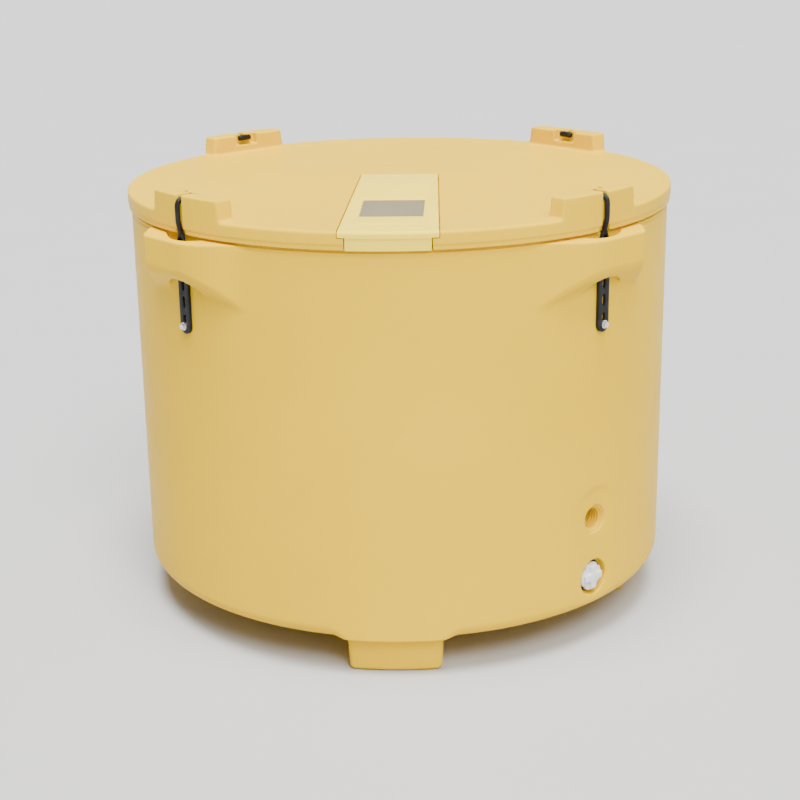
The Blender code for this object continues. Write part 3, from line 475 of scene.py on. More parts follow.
def add_object(name, data):
    made = bpy.data.objects.new(name, data)
    bpy.context.scene.collection.objects.link(made)
    return made


def mesh_from(name, points, faces, weld):
    """A mesh with its faces turned outward, and points that are closer than weld joined."""
    bm = bmesh.new()
    verts = [bm.verts.new(p) for p in points]
    for face in faces:
        corners = list(dict.fromkeys(verts[n] for n in face))
        if len(corners) > 2:
            bm.faces.new(corners)
    bmesh.ops.remove_doubles(bm, verts=bm.verts, dist=weld)
    bmesh.ops.recalc_face_normals(bm, faces=bm.faces)
    mesh = bpy.data.meshes.new(name)
    bm.to_mesh(mesh)
    bm.free()
    return mesh


class Patches:
    """Points and faces of several patches, numbered as those of one mesh."""

    def __init__(self):
        self.points = []
        self.faces = []
        self.count = 0

    def add(self, points, faces):
        self.points.append(points)
        self.faces += [[n + self.count for n in face] for face in faces]
        self.count += len(points)

    def add_round(self, net, quads, chain, between):
        """A corner piece at each corner, and its end profile turned through the azimuths between them."""
        level = np.arange(len(chain))
        for corner in CORNERS:
            self.add(*corner_piece(net, quads, corner))
            angle, row = np.meshgrid(math.radians(corner) + between, level)
            strip = polar(angle, chain[row, 0], chain[row, 1]).reshape(-1, 3)
            self.add(strip, grid_faces(len(chain), len(between)))


def make_object(name, points, faces, material, body, replaces=(), sharp=40.0):
    """A welded, smooth-shaded piece that rides on a body."""
    place_mesh(name, mesh_from(name, points, faces, WELD), material, body, replaces, sharp)


def place_mesh(name, mesh, material, body, replaces=(), sharp=40.0):
    """A smooth-shaded piece, in its material's slot where no other is given."""
    mesh.materials.clear()
    mesh.materials.append(material)
    mesh.shade_smooth()
    mesh.set_sharp_from_angle(angle=math.radians(sharp))
    made = add_object(name, mesh)
    if body is not None:
        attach(made, body)
    if replaces:
        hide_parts(*replaces)
    return made


def arc(centre, radius, start, end, steps):
    """Points along an arc, its ends in degrees."""
    turns = [math.radians(start + (end - start) * n / steps) for n in range(steps + 1)]
    return [(centre[0] + radius * math.cos(t), centre[1] + radius * math.sin(t)) for t in turns]


def turned_rows(profile, segments):
    """A profile's (r, z) points, each turned about Z into a ring of points."""
    angles = np.arange(segments) * 2 * math.pi / segments
    return [polar(angles, r, z) for r, z in profile]


def turned_mesh(profile, segments):
    """The points and quads of a closed profile turned about Z."""
    rows = turned_rows(profile, segments)
    rows.append(rows[0])
    return np.concatenate(rows), grid_faces(len(rows), segments, closed=True)


def facing_out(points, z):
    """Points drawn round Z, their height being the distance out, turned to face out at the port's azimuth."""
    flat = np.stack([points[:, 0], -points[:, 2], points[:, 1] + z], 1)
    return turned(flat, PORT_AZIMUTH)


def boolean(made, operation, other):
    """Cuts or trims a piece at once, and removes the cutter."""
    step = made.modifiers.new("cut", "BOOLEAN")
    step.operation = operation
    step.solver = "EXACT"
    step.object = other
    graph = bpy.context.evaluated_depsgraph_get()
    mesh = bpy.data.meshes.new_from_object(made.evaluated_get(graph))
    made.modifiers.clear()
    made.data = mesh
    bpy.data.objects.remove(other)


def take_mesh(made):
    """A working object's mesh, the object itself being removed."""
    mesh = made.data
    bpy.data.objects.remove(made)
    return mesh


def loose_mesh(name, points, faces, weld=0):
    """A closed working object, which cuts, trims or is cut."""
    return add_object(name, mesh_from(name, points, faces, weld))


def loft(outlines):
    """Points and faces of a closed solid through outlines of equal count, each a list of points."""
    count = len(outlines[0])
    points = np.concatenate([np.array(o, float) for o in outlines])
    faces = [list(f) for f in grid_faces(len(outlines), count, closed=True)]
    faces.append(list(range(count))[::-1])
    faces.append([len(points) - count + n for n in range(count)])
    return points, faces


# Tub

def lug_flank(side, out, half_width, root):
    """Distance from a lug's side, which runs from the edge of its face back to the wall."""
    run = np.array([half_width - root[0], LUG_FACE - root[1]])
    run /= np.hypot(*run)
    return (side - half_width) * run[1] - (out - LUG_FACE) * run[0]


def lug_distance(x, out, z):
    """The wall with a lug on it, pocket included."""
    r = np.hypot(x, out)
    side = np.abs(x)
    flank = lug_flank(x, out, LUG_HALF_WIDTH, LUG_ROOT)
    soft_flank = lug_flank(-x, out, LUG_SOFT_HALF_WIDTH, LUG_SOFT_ROOT)
    depth, rise = LUG_FACE - TUB_R, LUG_FACE_LOW_Z - LUG_ROOT_LOW_Z
    under = ((out - TUB_R) * rise - (z - LUG_ROOT_LOW_Z) * depth) / math.hypot(depth, rise)
    lug = round_max(round_max(out - LUG_FACE, flank, LUG_EDGE), soft_flank, LUG_SOFT_EDGE)
    lug = round_max(lug, under, LUG_EDGE)
    outward = np.clip((out - TUB_R) / (LUG_FACE - TUB_R), 0, 1)
    top = RIM_Z - LUG_TOP_FALL[0] - (LUG_TOP_FALL[1] - LUG_TOP_FALL[0]) * outward
    lug = round_max(lug, z - top, SHOULDER_EDGE)
    sagitta = POCKET_OUT[1] - POCKET_OUT[0]
    pocket_r = (POCKET_HALF_WIDTH ** 2 + sagitta ** 2) / (2 * sagitta)
    pocket = np.hypot(x, out - POCKET_OUT[1] + pocket_r) - pocket_r
    lug = round_max(lug, -pocket, POCKET_EDGE)
    wall = r - TUB_R + BAND_SETBACK * smoothstep(SHOULDER_Z - 0.001, SHOULDER_Z + 0.001, z)
    wall += NECK_SETBACK * smoothstep(NECK_LOW_Z - 0.001, NECK_LOW_Z + 0.001, z)
    more = np.where(x > 0, *LUG_MORE_FILLET)
    fillet = LUG_FILLET + more * smoothstep(0.070, 0.105, side) * smoothstep(0.780, 0.835, z)
    fillet *= 1 - 0.9 * smoothstep(NECK_LOW_Z - 0.010, NECK_LOW_Z - 0.003, z)
    return round_max(round_min(wall, lug, fillet), z - RIM_Z, 0.001)


def base_r(angle, z):
    """The wall's radius at a height, with the base's edge, which is tight over the front and back feet."""
    half = np.abs(TUB_R * np.sin(angle))
    edge = APRON_EDGE + (BASE_EDGE - APRON_EDGE) * smoothstep(*APRON_HALF_WIDTH, half)
    drop = np.clip(BASE_Z + edge - z, 0, edge)
    return TUB_R - edge + np.sqrt(np.maximum(edge ** 2 - drop ** 2, 0))


def pad_r(angle, z, r):
    """Flattens the wall round the port and the drain, inside an arch with a sloping ledge at its top."""
    turn = angle - math.radians(PORT_AZIMUTH)
    near = np.abs(turn) < PAD_REACH
    flat = PAD_OUT / np.cos(np.where(near, turn, 0))
    x = TUB_R * np.sin(np.where(near, turn, PAD_REACH))
    edge = np.hypot(x, np.maximum(z - PORT_Z, 0)) - PAD_R
    mask = np.clip(-edge / PAD_LEDGE, 0, 1) * near
    soft = 0.0002
    lower = (flat + r - np.sqrt((flat - r) ** 2 + soft ** 2)) / 2
    return r + mask * (np.minimum(lower, r) - r)


def tub_columns(end, count):
    """The azimuths of all the wall's columns, and those of the stretches between the lugs' windows."""
    window = np.linspace(-end, end, count)
    between = np.linspace(end, math.pi / 2 - end, 56)
    around = []
    for corner in CORNERS:
        around += list(math.radians(corner) + window)
        around += list(math.radians(corner) + between[1:-1])
    return np.array(around), between


def lower_wall(angles, top_row_z):
    """The wall from the lugs' windows down to the base: the rows' heights, and their points."""
    bottom = BASE_Z + np.array([0, 0.0003, 0.0009, 0.002, 0.0035, 0.006, 0.009, 0.0128, 0.0168, 0.0202])
    rows = np.concatenate([bottom, np.arange(0.104, 0.362, 0.004), np.linspace(0.375, top_row_z, 12)])
    grid_angle, grid_z = np.meshgrid(angles, rows)
    r = pad_r(grid_angle, grid_z, base_r(grid_angle, grid_z))
    return rows, polar(grid_angle, r, grid_z)


def lip_rings(centre_z, rings, border):
    """Rings from a hole's square border to its lip and down into it. Each ring is a radius and a depth."""
    local = turned(border, -PORT_AZIMUTH)
    x, z = local[:, 0], local[:, 2] - centre_z
    size = np.hypot(x, z)
    made = []
    for radius, depth in rings:
        out = np.full(len(x), PAD_OUT - depth)
        made.append(np.stack([x / size * radius, -out, centre_z + z / size * radius], 1))
    return [turned(ring, PORT_AZIMUTH) for ring in made]


def quarter(radius, edge, steps=5):
    """A hole's rounded lip: from the flat face to the straight wall at radius."""
    turns = [math.pi / 2 * n / steps for n in range(steps + 1)]
    return [(radius + edge * (1 - math.sin(t)), edge * (1 - math.cos(t))) for t in turns]


def hole_rings():
    """For the port and the drain: the height, half the patch's size, and the rings down into the hole."""
    floor, cup = PAD_OUT - DRAIN_FLOOR_OUT, PAD_OUT - DRAIN_CUP_OUT
    recess_r = DRAIN_RECESS_R - 0.0005
    drain = quarter(recess_r, 0.0035) + [(recess_r, floor - 0.001), (recess_r - 0.001, floor)]
    drain += [(BUSH_HOLE_R, floor), (BUSH_HOLE_R, cup), (DRAIN_CUP_R, cup)]
    port = quarter(PORT_R, 0.0042) + [(BUSH_HOLE_R, 0.0060), (BUSH_HOLE_R, 0.0085)]
    return (PORT_Z, 0.040, port), (DRAIN_Z, 0.0455, drain)


def add_hole(shell, wall, rows, around, centre_z, half, rings):
    """A hole's patch. Returns the columns and rows of the wall that it stands in for, and its last ring."""
    across = PAD_OUT * np.tan(around - math.radians(PORT_AZIMUTH))
    near = np.abs(around - math.radians(PORT_AZIMUTH)) < PAD_REACH
    inside = np.nonzero(near & (np.abs(across) < half))[0]
    i0, i1 = inside[0] - 1, inside[-1] + 1
    k0 = np.nonzero(rows < centre_z - half + 0.001)[0][-1]
    k1 = np.nonzero(rows > centre_z + half - 0.001)[0][0]
    ring = [(k0, n) for n in range(i0, i1)] + [(n, i1) for n in range(k0, k1)]
    ring += [(k1, n) for n in range(i1, i0, -1)] + [(n, i0) for n in range(k1, k0, -1)]
    border = np.array([wall[k, i] for k, i in ring])
    hole = [border] + lip_rings(centre_z, rings, border)
    shell.add(np.concatenate(hole), grid_faces(len(hole), len(ring), closed=True))
    return (i0, i1, k0, k1), hole[-1]


def outside(quads, columns, spans):
    """The quads of a grid that are in none of the spans of columns and rows."""
    k, i = quads[:, 0] // columns, quads[:, 0] % columns
    kept = np.ones(len(quads), bool)
    for i0, i1, k0, k1 in spans:
        kept &= ~((i >= i0) & (i < i1) & (k >= k0) & (k < k1))
    return quads[kept]


def add_underside(shell, edge, around):
    count = len(around)
    faces = grid_faces(2, count, closed=True, flip=True).tolist()
    faces.append([count + n for n in range(count)][::-1])
    shell.add(np.concatenate([edge, polar(around, 0.54, BASE_Z)]), faces)


def add_inner_side(shell, around, top_end, rows, holes):
    """The hidden inner side, which makes the shell a closed wall round its two holes."""
    levels = [tuple(top_end)]
    for (_, _, k0, k1), _ in holes:
        levels += [(SHELL_INNER_R, rows[k1]), (SHELL_INNER_R, rows[k0])]
    levels.append((0.55, BASE_Z + 0.007))
    inner = np.array([polar(around, r, z) for r, z in levels])
    spans = []
    for number, ((i0, i1, k0, k1), ring) in enumerate(holes):
        top, low = 2 * number + 1, 2 * number + 2
        spans.append((i0, i1, top, low))
        sides = [inner[low, i0:i1 + 1], inner[[low, top], i1]]
        sides += [inner[top, i0:i1 + 1][::-1], inner[[top, low], i0]]
        start = 0
        for side, count in zip(sides, (i1 - i0, k1 - k0, i1 - i0, k1 - k0)):
            lip = ring[[(start + n) % len(ring) for n in range(count, -1, -1)]]
            shell.add(np.concatenate([side, lip]), [range(len(side) + len(lip))])
            start += count
    faces = outside(grid_faces(len(levels), len(around), closed=True), len(around), spans).tolist()
    faces.append([(len(levels) - 1) * len(around) + n for n in range(len(around))])
    shell.add(inner.reshape(-1, 3), faces)


def build_tub():
    """The outer shell in patches: four lugs and the wall between them, the lower wall with its holes, the
    underside, and the inner side."""
    r_range = (SHELL_INNER_R - TUB_CELL / 2, 0.637)
    z_range = (WINDOW_LOW_Z, RIM_Z + 0.01)
    net, quads, profile, end = polar_net(lug_distance, LUG_WINDOW, r_range, z_range, TUB_CELL)
    chain = along(profile, (0.50, 0.80))
    around, between = tub_columns(end, 2 * int(round(LUG_WINDOW * TUB_R / TUB_CELL)))
    shell = Patches()
    shell.add_round(net, quads, chain, between)
    rows, wall = lower_wall(around, chain[0, 1])
    wall[-1] = polar(around, *chain[0])
    holes = [add_hole(shell, wall, rows, around, *hole) for hole in hole_rings()]
    wall_faces = grid_faces(len(rows), len(around), closed=True)
    shell.add(wall.reshape(-1, 3), outside(wall_faces, len(around), [span for span, _ in holes]))
    add_underside(shell, wall[0], around)
    add_inner_side(shell, around, chain[-1], rows, holes)
    make_object("tub_outer_shell", np.concatenate(shell.points), shell.faces, YELLOW, "tub",
                ("tub_shell", "tub_base", "port_pad", "lug_1", "lug_2", "lug_3", "lug_4"))


# Lid

def block_distance(x, out, z):
    """The lid's plate with a block on it, and the block's groove, slot and recess."""
    r = np.hypot(x, out)
    side = np.abs(x)
    half = LID_R * math.sin(BLOCK_HALF_ANGLE) + BLOCK_DRAFT * (BLOCK_TOP_Z - 0.02 - z)
    block = round_max(np.maximum(x - half, -x - half - BLOCK_LONGER), BLOCK_INNER - out, 0.007)
    block = round_max(block, z - BLOCK_TOP_Z, BLOCK_EDGE)
    body = round_min(z - LID_TOP_Z, block, 0.006)
    edge = LID_EDGE - (LID_EDGE - BLOCK_EDGE) * smoothstep(0.939, 0.951, z)
    bead = BEAD * (1 - smoothstep(BEAD_Z - 0.001, BEAD_Z + 0.001, z))
    body = round_max(body, r - LID_R + bead, edge)
    body = round_max(body, LID_LOW_Z + 0.0006 - z, 0.0012)
    wider = (GROOVE_HALF_WIDTH - GROOVE_TOP_HALF_WIDTH) * smoothstep(*GROOVE_STEP_Z[::-1], z)
    groove_half = GROOVE_TOP_HALF_WIDTH + wider
    groove_out = GROOVE_OUT + GROOVE_RISE * smoothstep(*GROOVE_RISE_Z, z)
    groove = round_max(side - groove_half, groove_out - out, 0.003)
    slot = round_max(side - SLOT_HALF_WIDTH, SLOT_Z - z, 0.003)
    slot = np.maximum(slot, BLOCK_INNER - 0.006 - out)
    recess = round_max(round_max(side - RECESS_HALF_WIDTH, out - RECESS_OUT, 0.003), RECESS_Z - z, 0.003)
    recess = np.maximum(recess, BLOCK_INNER - 0.012 - out)
    for cut, soft in ((groove, 0.0025), (slot, 0.002), (recess, 0.002)):
        body = round_max(body, -cut, soft)
    return body


def hatch_plan(shrink, z, front=0.64):
    """The hatch's tapered plan at a height, made smaller on all sides but the front."""
    taper = (HATCH_FRONT_HALF_WIDTH - HATCH_REAR_HALF_WIDTH) / (HATCH_REAR_Y + LID_R)
    rear_y = HATCH_REAR_Y - shrink
    front_half = HATCH_REAR_HALF_WIDTH - shrink + taper * (HATCH_REAR_Y + front)
    rear_half = HATCH_REAR_HALF_WIDTH - shrink + taper * shrink
    front_side = [(-front_half, -front, z), (front_half, -front, z)]
    return front_side + [(rear_half, rear_y, z), (-rear_half, rear_y, z)]


def build_lid():
    r_range = (LID_INNER_R, 0.6055)
    z_range = (LID_LOW_Z - 0.006, BLOCK_TOP_Z + 0.006)
    net, quads, profile, end = polar_net(block_distance, LID_WINDOW, r_range, z_range, LID_CELL)
    chain = along(profile, (0.57, 0.916))
    columns = 2 * int(round(LID_WINDOW * TUB_R / LID_CELL))
    window = np.linspace(-end, end, columns)
    between = np.linspace(end, math.pi / 2 - end, 64)
    stretch = np.concatenate([window, between[1:-1]])
    around = np.concatenate([math.radians(corner) + stretch for corner in CORNERS])
    shell = Patches()
    shell.add_round(net, quads, chain, between)
    for end_point, way in ((chain[0], -1), (chain[-1], 1)):
        shell.add(polar(around, *end_point), [range(len(around))[::way]])
    lid = loose_mesh("lid", np.concatenate(shell.points), shell.faces, WELD)
    boolean(lid, "DIFFERENCE", hatch_cutter())
    place_mesh("lid_top_shell", take_mesh(lid), YELLOW, "lid", ("lid_shell",))


def rounded_top(shrink, way):
    """The hatch's plans over its rounded top edge, which turns inward, or outward where way is -1."""
    outlines = []
    for n in range(5):
        t = math.pi / 2 * n / 4
        z = LID_TOP_Z - HATCH_EDGE * (1 - math.sin(t))
        outlines.append(hatch_plan(shrink + way * HATCH_EDGE * (1 - math.cos(t)), z))
    return outlines


def hatch_cutter():
    """The hatch's opening, with its top edge rounded over."""
    wide = -HATCH_CLEARANCE
    outlines = [hatch_plan(HATCH_STEP - HATCH_CLEARANCE, z) for z in (LID_LOW_Z - 0.03, LEDGE_Z)]
    outlines.append(hatch_plan(wide, LEDGE_Z))
    outlines += rounded_top(wide, -1)
    outlines.append(hatch_plan(wide - HATCH_EDGE, LID_TOP_Z + 0.03))
    return loose_mesh("hatch_cutter", *loft(outlines))


def rim_solid(low_z):
    """The lid's plain turned shape without blocks, which the hatch's front end follows."""
    top = arc((LID_R - LID_EDGE, LID_TOP_Z - LID_EDGE), LID_EDGE, 0, 90, 8)
    profile = [(LID_R, low_z)] + top + [(LID_R - LID_EDGE, LID_TOP_Z + 0.02)]
    return loose_mesh("rim_solid", *loft(turned_rows(profile, 360)))


def build_hatch():
    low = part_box("hatch_shell")[0].z
    outlines = [hatch_plan(HATCH_STEP + HATCH_CHAMFER, low), hatch_plan(HATCH_STEP, low + HATCH_CHAMFER)]
    outlines += [hatch_plan(HATCH_STEP, HATCH_STEP_Z), hatch_plan(HATCH_CHAMFER / 2, HATCH_STEP_Z)]
    outlines.append(hatch_plan(0, HATCH_STEP_Z + HATCH_CHAMFER / 2))
    outlines += rounded_top(0, 1)
    hatch = loose_mesh("hatch", *loft(outlines))
    boolean(hatch, "INTERSECT", rim_solid(low - 0.01))
    for cutter in (plate_recess(), front_step(), crease()):
        boolean(hatch, "DIFFERENCE", cutter)
    place_mesh("hatch_top_shell", take_mesh(hatch), PALE, "hatch", ("hatch_shell",), 30.0)


def rounded_rectangle(half_width, half_height, radius, middle, z, steps=4):
    points = []
    for turn, (sx, sy) in enumerate([(1, 1), (-1, 1), (-1, -1), (1, -1)]):
        for n in range(steps + 1):
            t = math.pi / 2 * (turn + n / steps)
            x = middle[0] + sx * (half_width - radius) + radius * math.cos(t)
            y = middle[1] + sy * (half_height - radius) + radius * math.sin(t)
            points.append((x, y, z))
    return points


def plate_recess():
    """The plate's seat, with sloping borders."""
    half = (PLATE_HIGH - PLATE_LOW) / 2
    middle = (PLATE_HIGH + PLATE_LOW) / 2
    levels = [(0.0003, PLATE_LOW.z - 0.0003), (0.0004, PLATE_HIGH.z)]
    levels += [(0.0032, LID_TOP_Z), (0.0032, LID_TOP_Z + 0.02)]
    outlines = []
    for grow, z in levels:
        outlines.append(rounded_rectangle(half.x + grow, half.y + grow, 0.0035 + grow, middle, z))
    return loose_mesh("plate_recess", *loft(outlines))


def front_step():
    """A ring that takes a little off the hatch's front face below its flange."""
    inner, outer, low = LID_R - FRONT_STEP, LID_R + 0.02, LID_LOW_Z - 0.02
    profile = [(inner, HATCH_STEP_Z - HATCH_CHAMFER), (outer, HATCH_STEP_Z), (outer, low), (inner, low)]
    points = np.concatenate(turned_rows(profile, 360))
    faces = [list(f) for f in grid_faces(4, 360, closed=True)]
    faces += [[3 * 360 + n, 3 * 360 + (n + 1) % 360, (n + 1) % 360, n] for n in range(360)]
    return loose_mesh("front_step", points, faces)


def crease():
    """A shallow groove across the hatch in front of the plate, which tapers at its ends."""
    z = LID_TOP_Z + 0.0008
    ring = [2 * math.pi * n / 16 for n in range(16)]
    outlines = []
    for share, scale in ((-1, 0.2), (-0.9, 1.0), (0.9, 1.0), (1, 0.2)):
        x = CREASE_HALF_LENGTH * share
        r = CREASE_R * scale
        outlines.append([(x, CREASE_Y + 2 * r * math.cos(t), z + r * math.sin(t)) for t in ring])
    return loose_mesh("crease", *loft(outlines))


def build_under_lid():
    """The lid's under skin with its locating rib, and its opening under the hatch."""
    low, high = LID_LOW_Z, LID_LOW_Z + 0.006
    rib_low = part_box("lid_rib")[0].z
    rib = [(0.5335, low), (0.532, low - 0.002), (0.531, rib_low + 0.002), (0.529, rib_low), (0.525, rib_low),
           (0.523, rib_low + 0.002), (0.522, low - 0.002), (0.5205, low)]
    profile = [(0.5905, high), (0.5915, high - 0.001), (0.5915, low + 0.001), (0.5905, low)] + rib
    under = loose_mesh("under", *loft(turned_rows(profile, 240)))
    plan = [hatch_plan(HATCH_STEP - HATCH_CLEARANCE, z) for z in (low - 0.05, high + 0.02)]
    boolean(under, "DIFFERENCE", loose_mesh("under_cutter", *loft(plan)))
    place_mesh("lid_under_skin_fine", take_mesh(under), YELLOW, "lid", ("lid_under_skin", "lid_rib"))


# Liner, gasket, bushes and feet

def build_liner():
    """The inside of the tub, with the rim's flange and the gasket's groove in it."""
    edge, gap = 0.003, 0.0005
    corner = (LINER_R - LINER_FILLET, LINER_FLOOR_Z + LINER_FILLET)
    inner, outer = SEAL_GROOVE
    bottom = RIM_Z - SEAL_DEPTH
    flange_r, flange_z = SHELL_INNER_R - gap, SHOULDER_Z + 0.0002
    profile = [(0.02, LINER_FLOOR_Z)] + arc(corner, LINER_FILLET, -90, 0, 10)
    profile += arc((LINER_R + edge, RIM_Z - edge), edge, 180, 90, 5)
    profile += [(inner, RIM_Z), (inner, bottom), (outer, bottom), (outer, RIM_Z)]
    profile += [(flange_r - gap, RIM_Z), (flange_r, RIM_Z - gap), (flange_r, flange_z)]
    profile += [(LINER_R + SKIN, flange_z)] + arc(corner, LINER_FILLET + SKIN, 0, -90, 8)
    profile += [(0.02, LINER_FLOOR_Z - SKIN)]
    points, faces = turned_mesh(profile[::-1], 180)
    liner = loose_mesh("liner", points, faces, WELD)
    for z in (PORT_Z, DRAIN_Z):
        boolean(liner, "DIFFERENCE", bush_hole(z))
    place_mesh("tub_liner_fine", take_mesh(liner), YELLOW, "tub",
               ("tub_liner", "liner_panel", "tub_rim", "tub_floor"))


def build_rim_gasket():
    inner, outer = SEAL_GROOVE[0] + 0.0003, SEAL_GROOVE[1] - 0.0003
    low, high = RIM_Z - SEAL_DEPTH + 0.0003, RIM_Z - SEAL_R
    ring = [(outer, low), (outer, high)] + arc((sum(SEAL_GROOVE) / 2, high), SEAL_R, 0, 180, 8)
    ring += [(inner, high), (inner, low)]
    points, faces = turned_mesh(ring[::-1], 180)
    make_object("rim_gasket_fine", points, faces, SEAL, "tub", ("rim_gasket",))


def bush_hole(z):
    """A cylinder through the liner for a bush, facing out at the port's azimuth."""
    around = [2 * math.pi * n / 64 for n in range(64)]
    ring = [(BUSH_HOLE_R * math.cos(t), BUSH_HOLE_R * math.sin(t)) for t in around]
    points, faces = loft([[(*point, out) for point in ring] for out in (0.50, 0.56)])
    return loose_mesh("bush_hole", facing_out(points, z), faces)


def build_bush():
    """The port's bush, its thread drawn as rings."""
    outer_r = PORT_R - 0.0001
    face = PAD_OUT - 0.0045
    profile = [(outer_r, BUSH_INNER), (outer_r, face)]
    profile += [(PORT_R - 0.0012, face + 0.0006), (0.0266, face - 0.0002)]
    depth = face - 0.0025
    while depth > BUSH_INNER + THREAD_PITCH:
        profile += [(THREAD_ROOT_R, depth), (THREAD_ROOT_R, depth - 0.25 * THREAD_PITCH)]
        profile += [(THREAD_CREST_R, depth - share * THREAD_PITCH) for share in (0.5, 0.75)]
        depth -= THREAD_PITCH
    profile.append((THREAD_CREST_R, BUSH_INNER))
    points, faces = turned_mesh(profile, 64)
    make_object("port_bush_fine", facing_out(points, PORT_Z), faces, YELLOW, "tub", ("port_bush",), 25.0)


def foot_plan(half_width, inner, outer, corner, z, bend):
    """A foot's plan at a height: a rounded rectangle whose outer side follows a circle where bend is set."""
    middle = (0, -(inner + outer) / 2)
    plan = rounded_rectangle(half_width, (outer - inner) / 2, corner, middle, z, 5)
    if not bend:
        return plan
    dense = []
    for a, b in zip(plan, plan[1:] + plan[:1]):
        steps = 14 if abs(a[0] - b[0]) > half_width else 1
        dense += [tuple(a[m] + (b[m] - a[m]) * n / steps for m in range(3)) for n in range(steps)]
    bent = []
    for x, y, height in dense:
        share = (-y - inner) / (outer - inner)
        reach = math.sqrt(outer ** 2 - x ** 2) - outer
        bent.append((x, y - share * reach, height))
    return bent


def build_feet():
    """Five feet under the base, each a little narrower at the floor, with rounded lower edges."""
    draft = 0.0035
    for name, azimuth, half_width, inner, outer, bend, edge in (
        ("front_foot", 0, 0.100, 0.400, 0.568, True, 0.010),
        ("right_foot", 90, 0.155, 0.350, 0.510, False, 0.004),
        ("back_foot", 180, 0.100, 0.400, 0.568, True, 0.010),
        ("left_foot", -90, 0.155, 0.350, 0.510, False, 0.004),
        ("centre_foot", 0, 0.100, -0.090, 0.090, False, 0.010),
    ):
        outlines = []
        turns = np.linspace(0, math.pi / 2, 6)
        levels = [(edge * (1 - math.sin(t)) + draft, edge * (1 - math.cos(t))) for t in turns]
        for inset, z in levels + [(0.0, BASE_Z + 0.004)]:
            outlines.append(foot_plan(half_width - inset, inner + inset, outer - inset, edge, z, bend))
        points, faces = loft(outlines)
        mesh = take_mesh(loose_mesh(name, turned(points, azimuth), faces))
        place_mesh(name, mesh, YELLOW, "tub", ("foot_" + name.split("_")[0],))


# Straps

def strap_outline():
    """The ladder's outline from its round foot up to its neck."""
    neck, top = 0.0068, STRAP_PIVOT_Z + 0.006
    foot = arc((0, SCREW_Z), STRAP_HALF_WIDTH, 180, 360, 16)
    side = [(STRAP_HALF_WIDTH, top - 0.031), (STRAP_HALF_WIDTH - 0.0008, top - 0.025), (0.0125, top - 0.016),
            (0.0088, top - 0.008), (neck, top)]
    return foot + side + [(-x, z) for x, z in side[::-1]]


def ellipse(z, half_width, half_height, power=2.6, steps=20):
    """A slot's outline: a rounded, nearly straight-sided loop."""
    points = []
    for n in range(steps):
        t = 2 * math.pi * n / steps
        c, s = math.cos(t), math.sin(t)
        points.append((half_width * math.copysign(abs(c) ** (2 / power), c),
                       z + half_height * math.copysign(abs(s) ** (2 / power), s)))
    return points


def ladder_mesh():
    """The flat lower part of a strap, with slots and soft edges."""
    soft = 0.0015
    curve = bpy.data.curves.new("ladder", "CURVE")
    curve.dimensions = "2D"
    curve.fill_mode = "BOTH"
    curve.extrude = STRAP_THICKNESS / 2 - soft
    curve.bevel_depth = soft
    curve.bevel_resolution = 2
    curve.offset = -soft
    holes = [ellipse(SCREW_Z + 0.050 + 0.037 * n, 0.0042, 0.0125) for n in range(3)]
    holes.append(ellipse(SCREW_Z + 0.0155, 0.0042, 0.0085))
    holes.append(ellipse(STRAP_PIVOT_Z - 0.0095, 0.0042, 0.0075, 2.0))
    holes.append(arc((0, SCREW_Z), 0.0045, 0, 330, 11))
    for outline in [strap_outline()] + holes:
        spline = curve.splines.new("POLY")
        spline.points.add(len(outline) - 1)
        for point, (x, z) in zip(spline.points, outline):
            point.co = (x, z, 0, 1)
        spline.use_cyclic_u = True
    holder = add_object("ladder", curve)
    graph = bpy.context.evaluated_depsgraph_get()
    mesh = bpy.data.meshes.new_from_object(holder.evaluated_get(graph))
    bpy.data.objects.remove(holder)
    bm = bmesh.new()
    bm.from_mesh(mesh)
    bmesh.ops.remove_doubles(bm, verts=bm.verts, dist=1e-6)
    outward = Matrix.Translation((0, -STRAP_OUT - STRAP_THICKNESS / 2, 0))
    place = outward @ Matrix.Rotation(math.pi / 2, 4, "X")
    bmesh.ops.transform(bm, matrix=place, verts=bm.verts)
    return bm


def join_rows(bm, rows):
    """The sides between rings of points, and a face at each end."""
    segments = len(rows[0])
    for a, b in zip(rows, rows[1:]):
        for m in range(segments):
            bm.faces.new([a[m], a[(m + 1) % segments], b[(m + 1) % segments], b[m]])
    bm.faces.new(rows[0][::-1])
    bm.faces.new(rows[-1])


def tube(bm, route, radii, segments=16):
    """A round tube through points in the plane x = 0."""
    rows = []
    for n, (out, z) in enumerate(route):
        before, after = route[max(n - 1, 0)], route[min(n + 1, len(route) - 1)]
        way = Vector((0, -(after[0] - before[0]), after[1] - before[1])).normalized()
        across = Vector((1, 0, 0))
        other = way.cross(across)
        centre = Vector((0, -out, z))
        row = []
        for m in range(segments):
            t = 2 * math.pi * m / segments
            row.append(bm.verts.new(centre + radii[n] * (math.cos(t) * across + math.sin(t) * other)))
        rows.append(row)
    join_rows(bm, rows)


def strap_mesh():
    """One rubber strap: the ladder, the cord that grows out of its neck, and the cross bar."""
    bm = ladder_mesh()
    route = [(STRAP_OUT + 0.0038, STRAP_PIVOT_Z - 0.004), (STRAP_OUT + 0.0038, STRAP_PIVOT_Z + 0.001)]
    route += [(STRAP_OUT + 0.0042, 0.899), (STRAP_OUT + 0.0058, 0.908), (CORD_OUT - 0.0012, 0.917)]
    route += [(CORD_OUT, 0.926), (CORD_OUT, 0.940)]
    route += arc((CORD_OUT - CORD_BEND, TOGGLE_Z - CORD_BEND), CORD_BEND, 0, 90, 8)
    route += [(TOGGLE_OUT + 0.010, TOGGLE_Z), (TOGGLE_OUT, TOGGLE_Z)]
    radii = [0.0032, 0.0040, 0.0049] + [CORD_R] * (len(route) - 3)
    tube(bm, route, radii)
    round_bar(bm)
    mesh = bpy.data.meshes.new("strap")
    bm.to_mesh(mesh)
    bm.free()
    return mesh


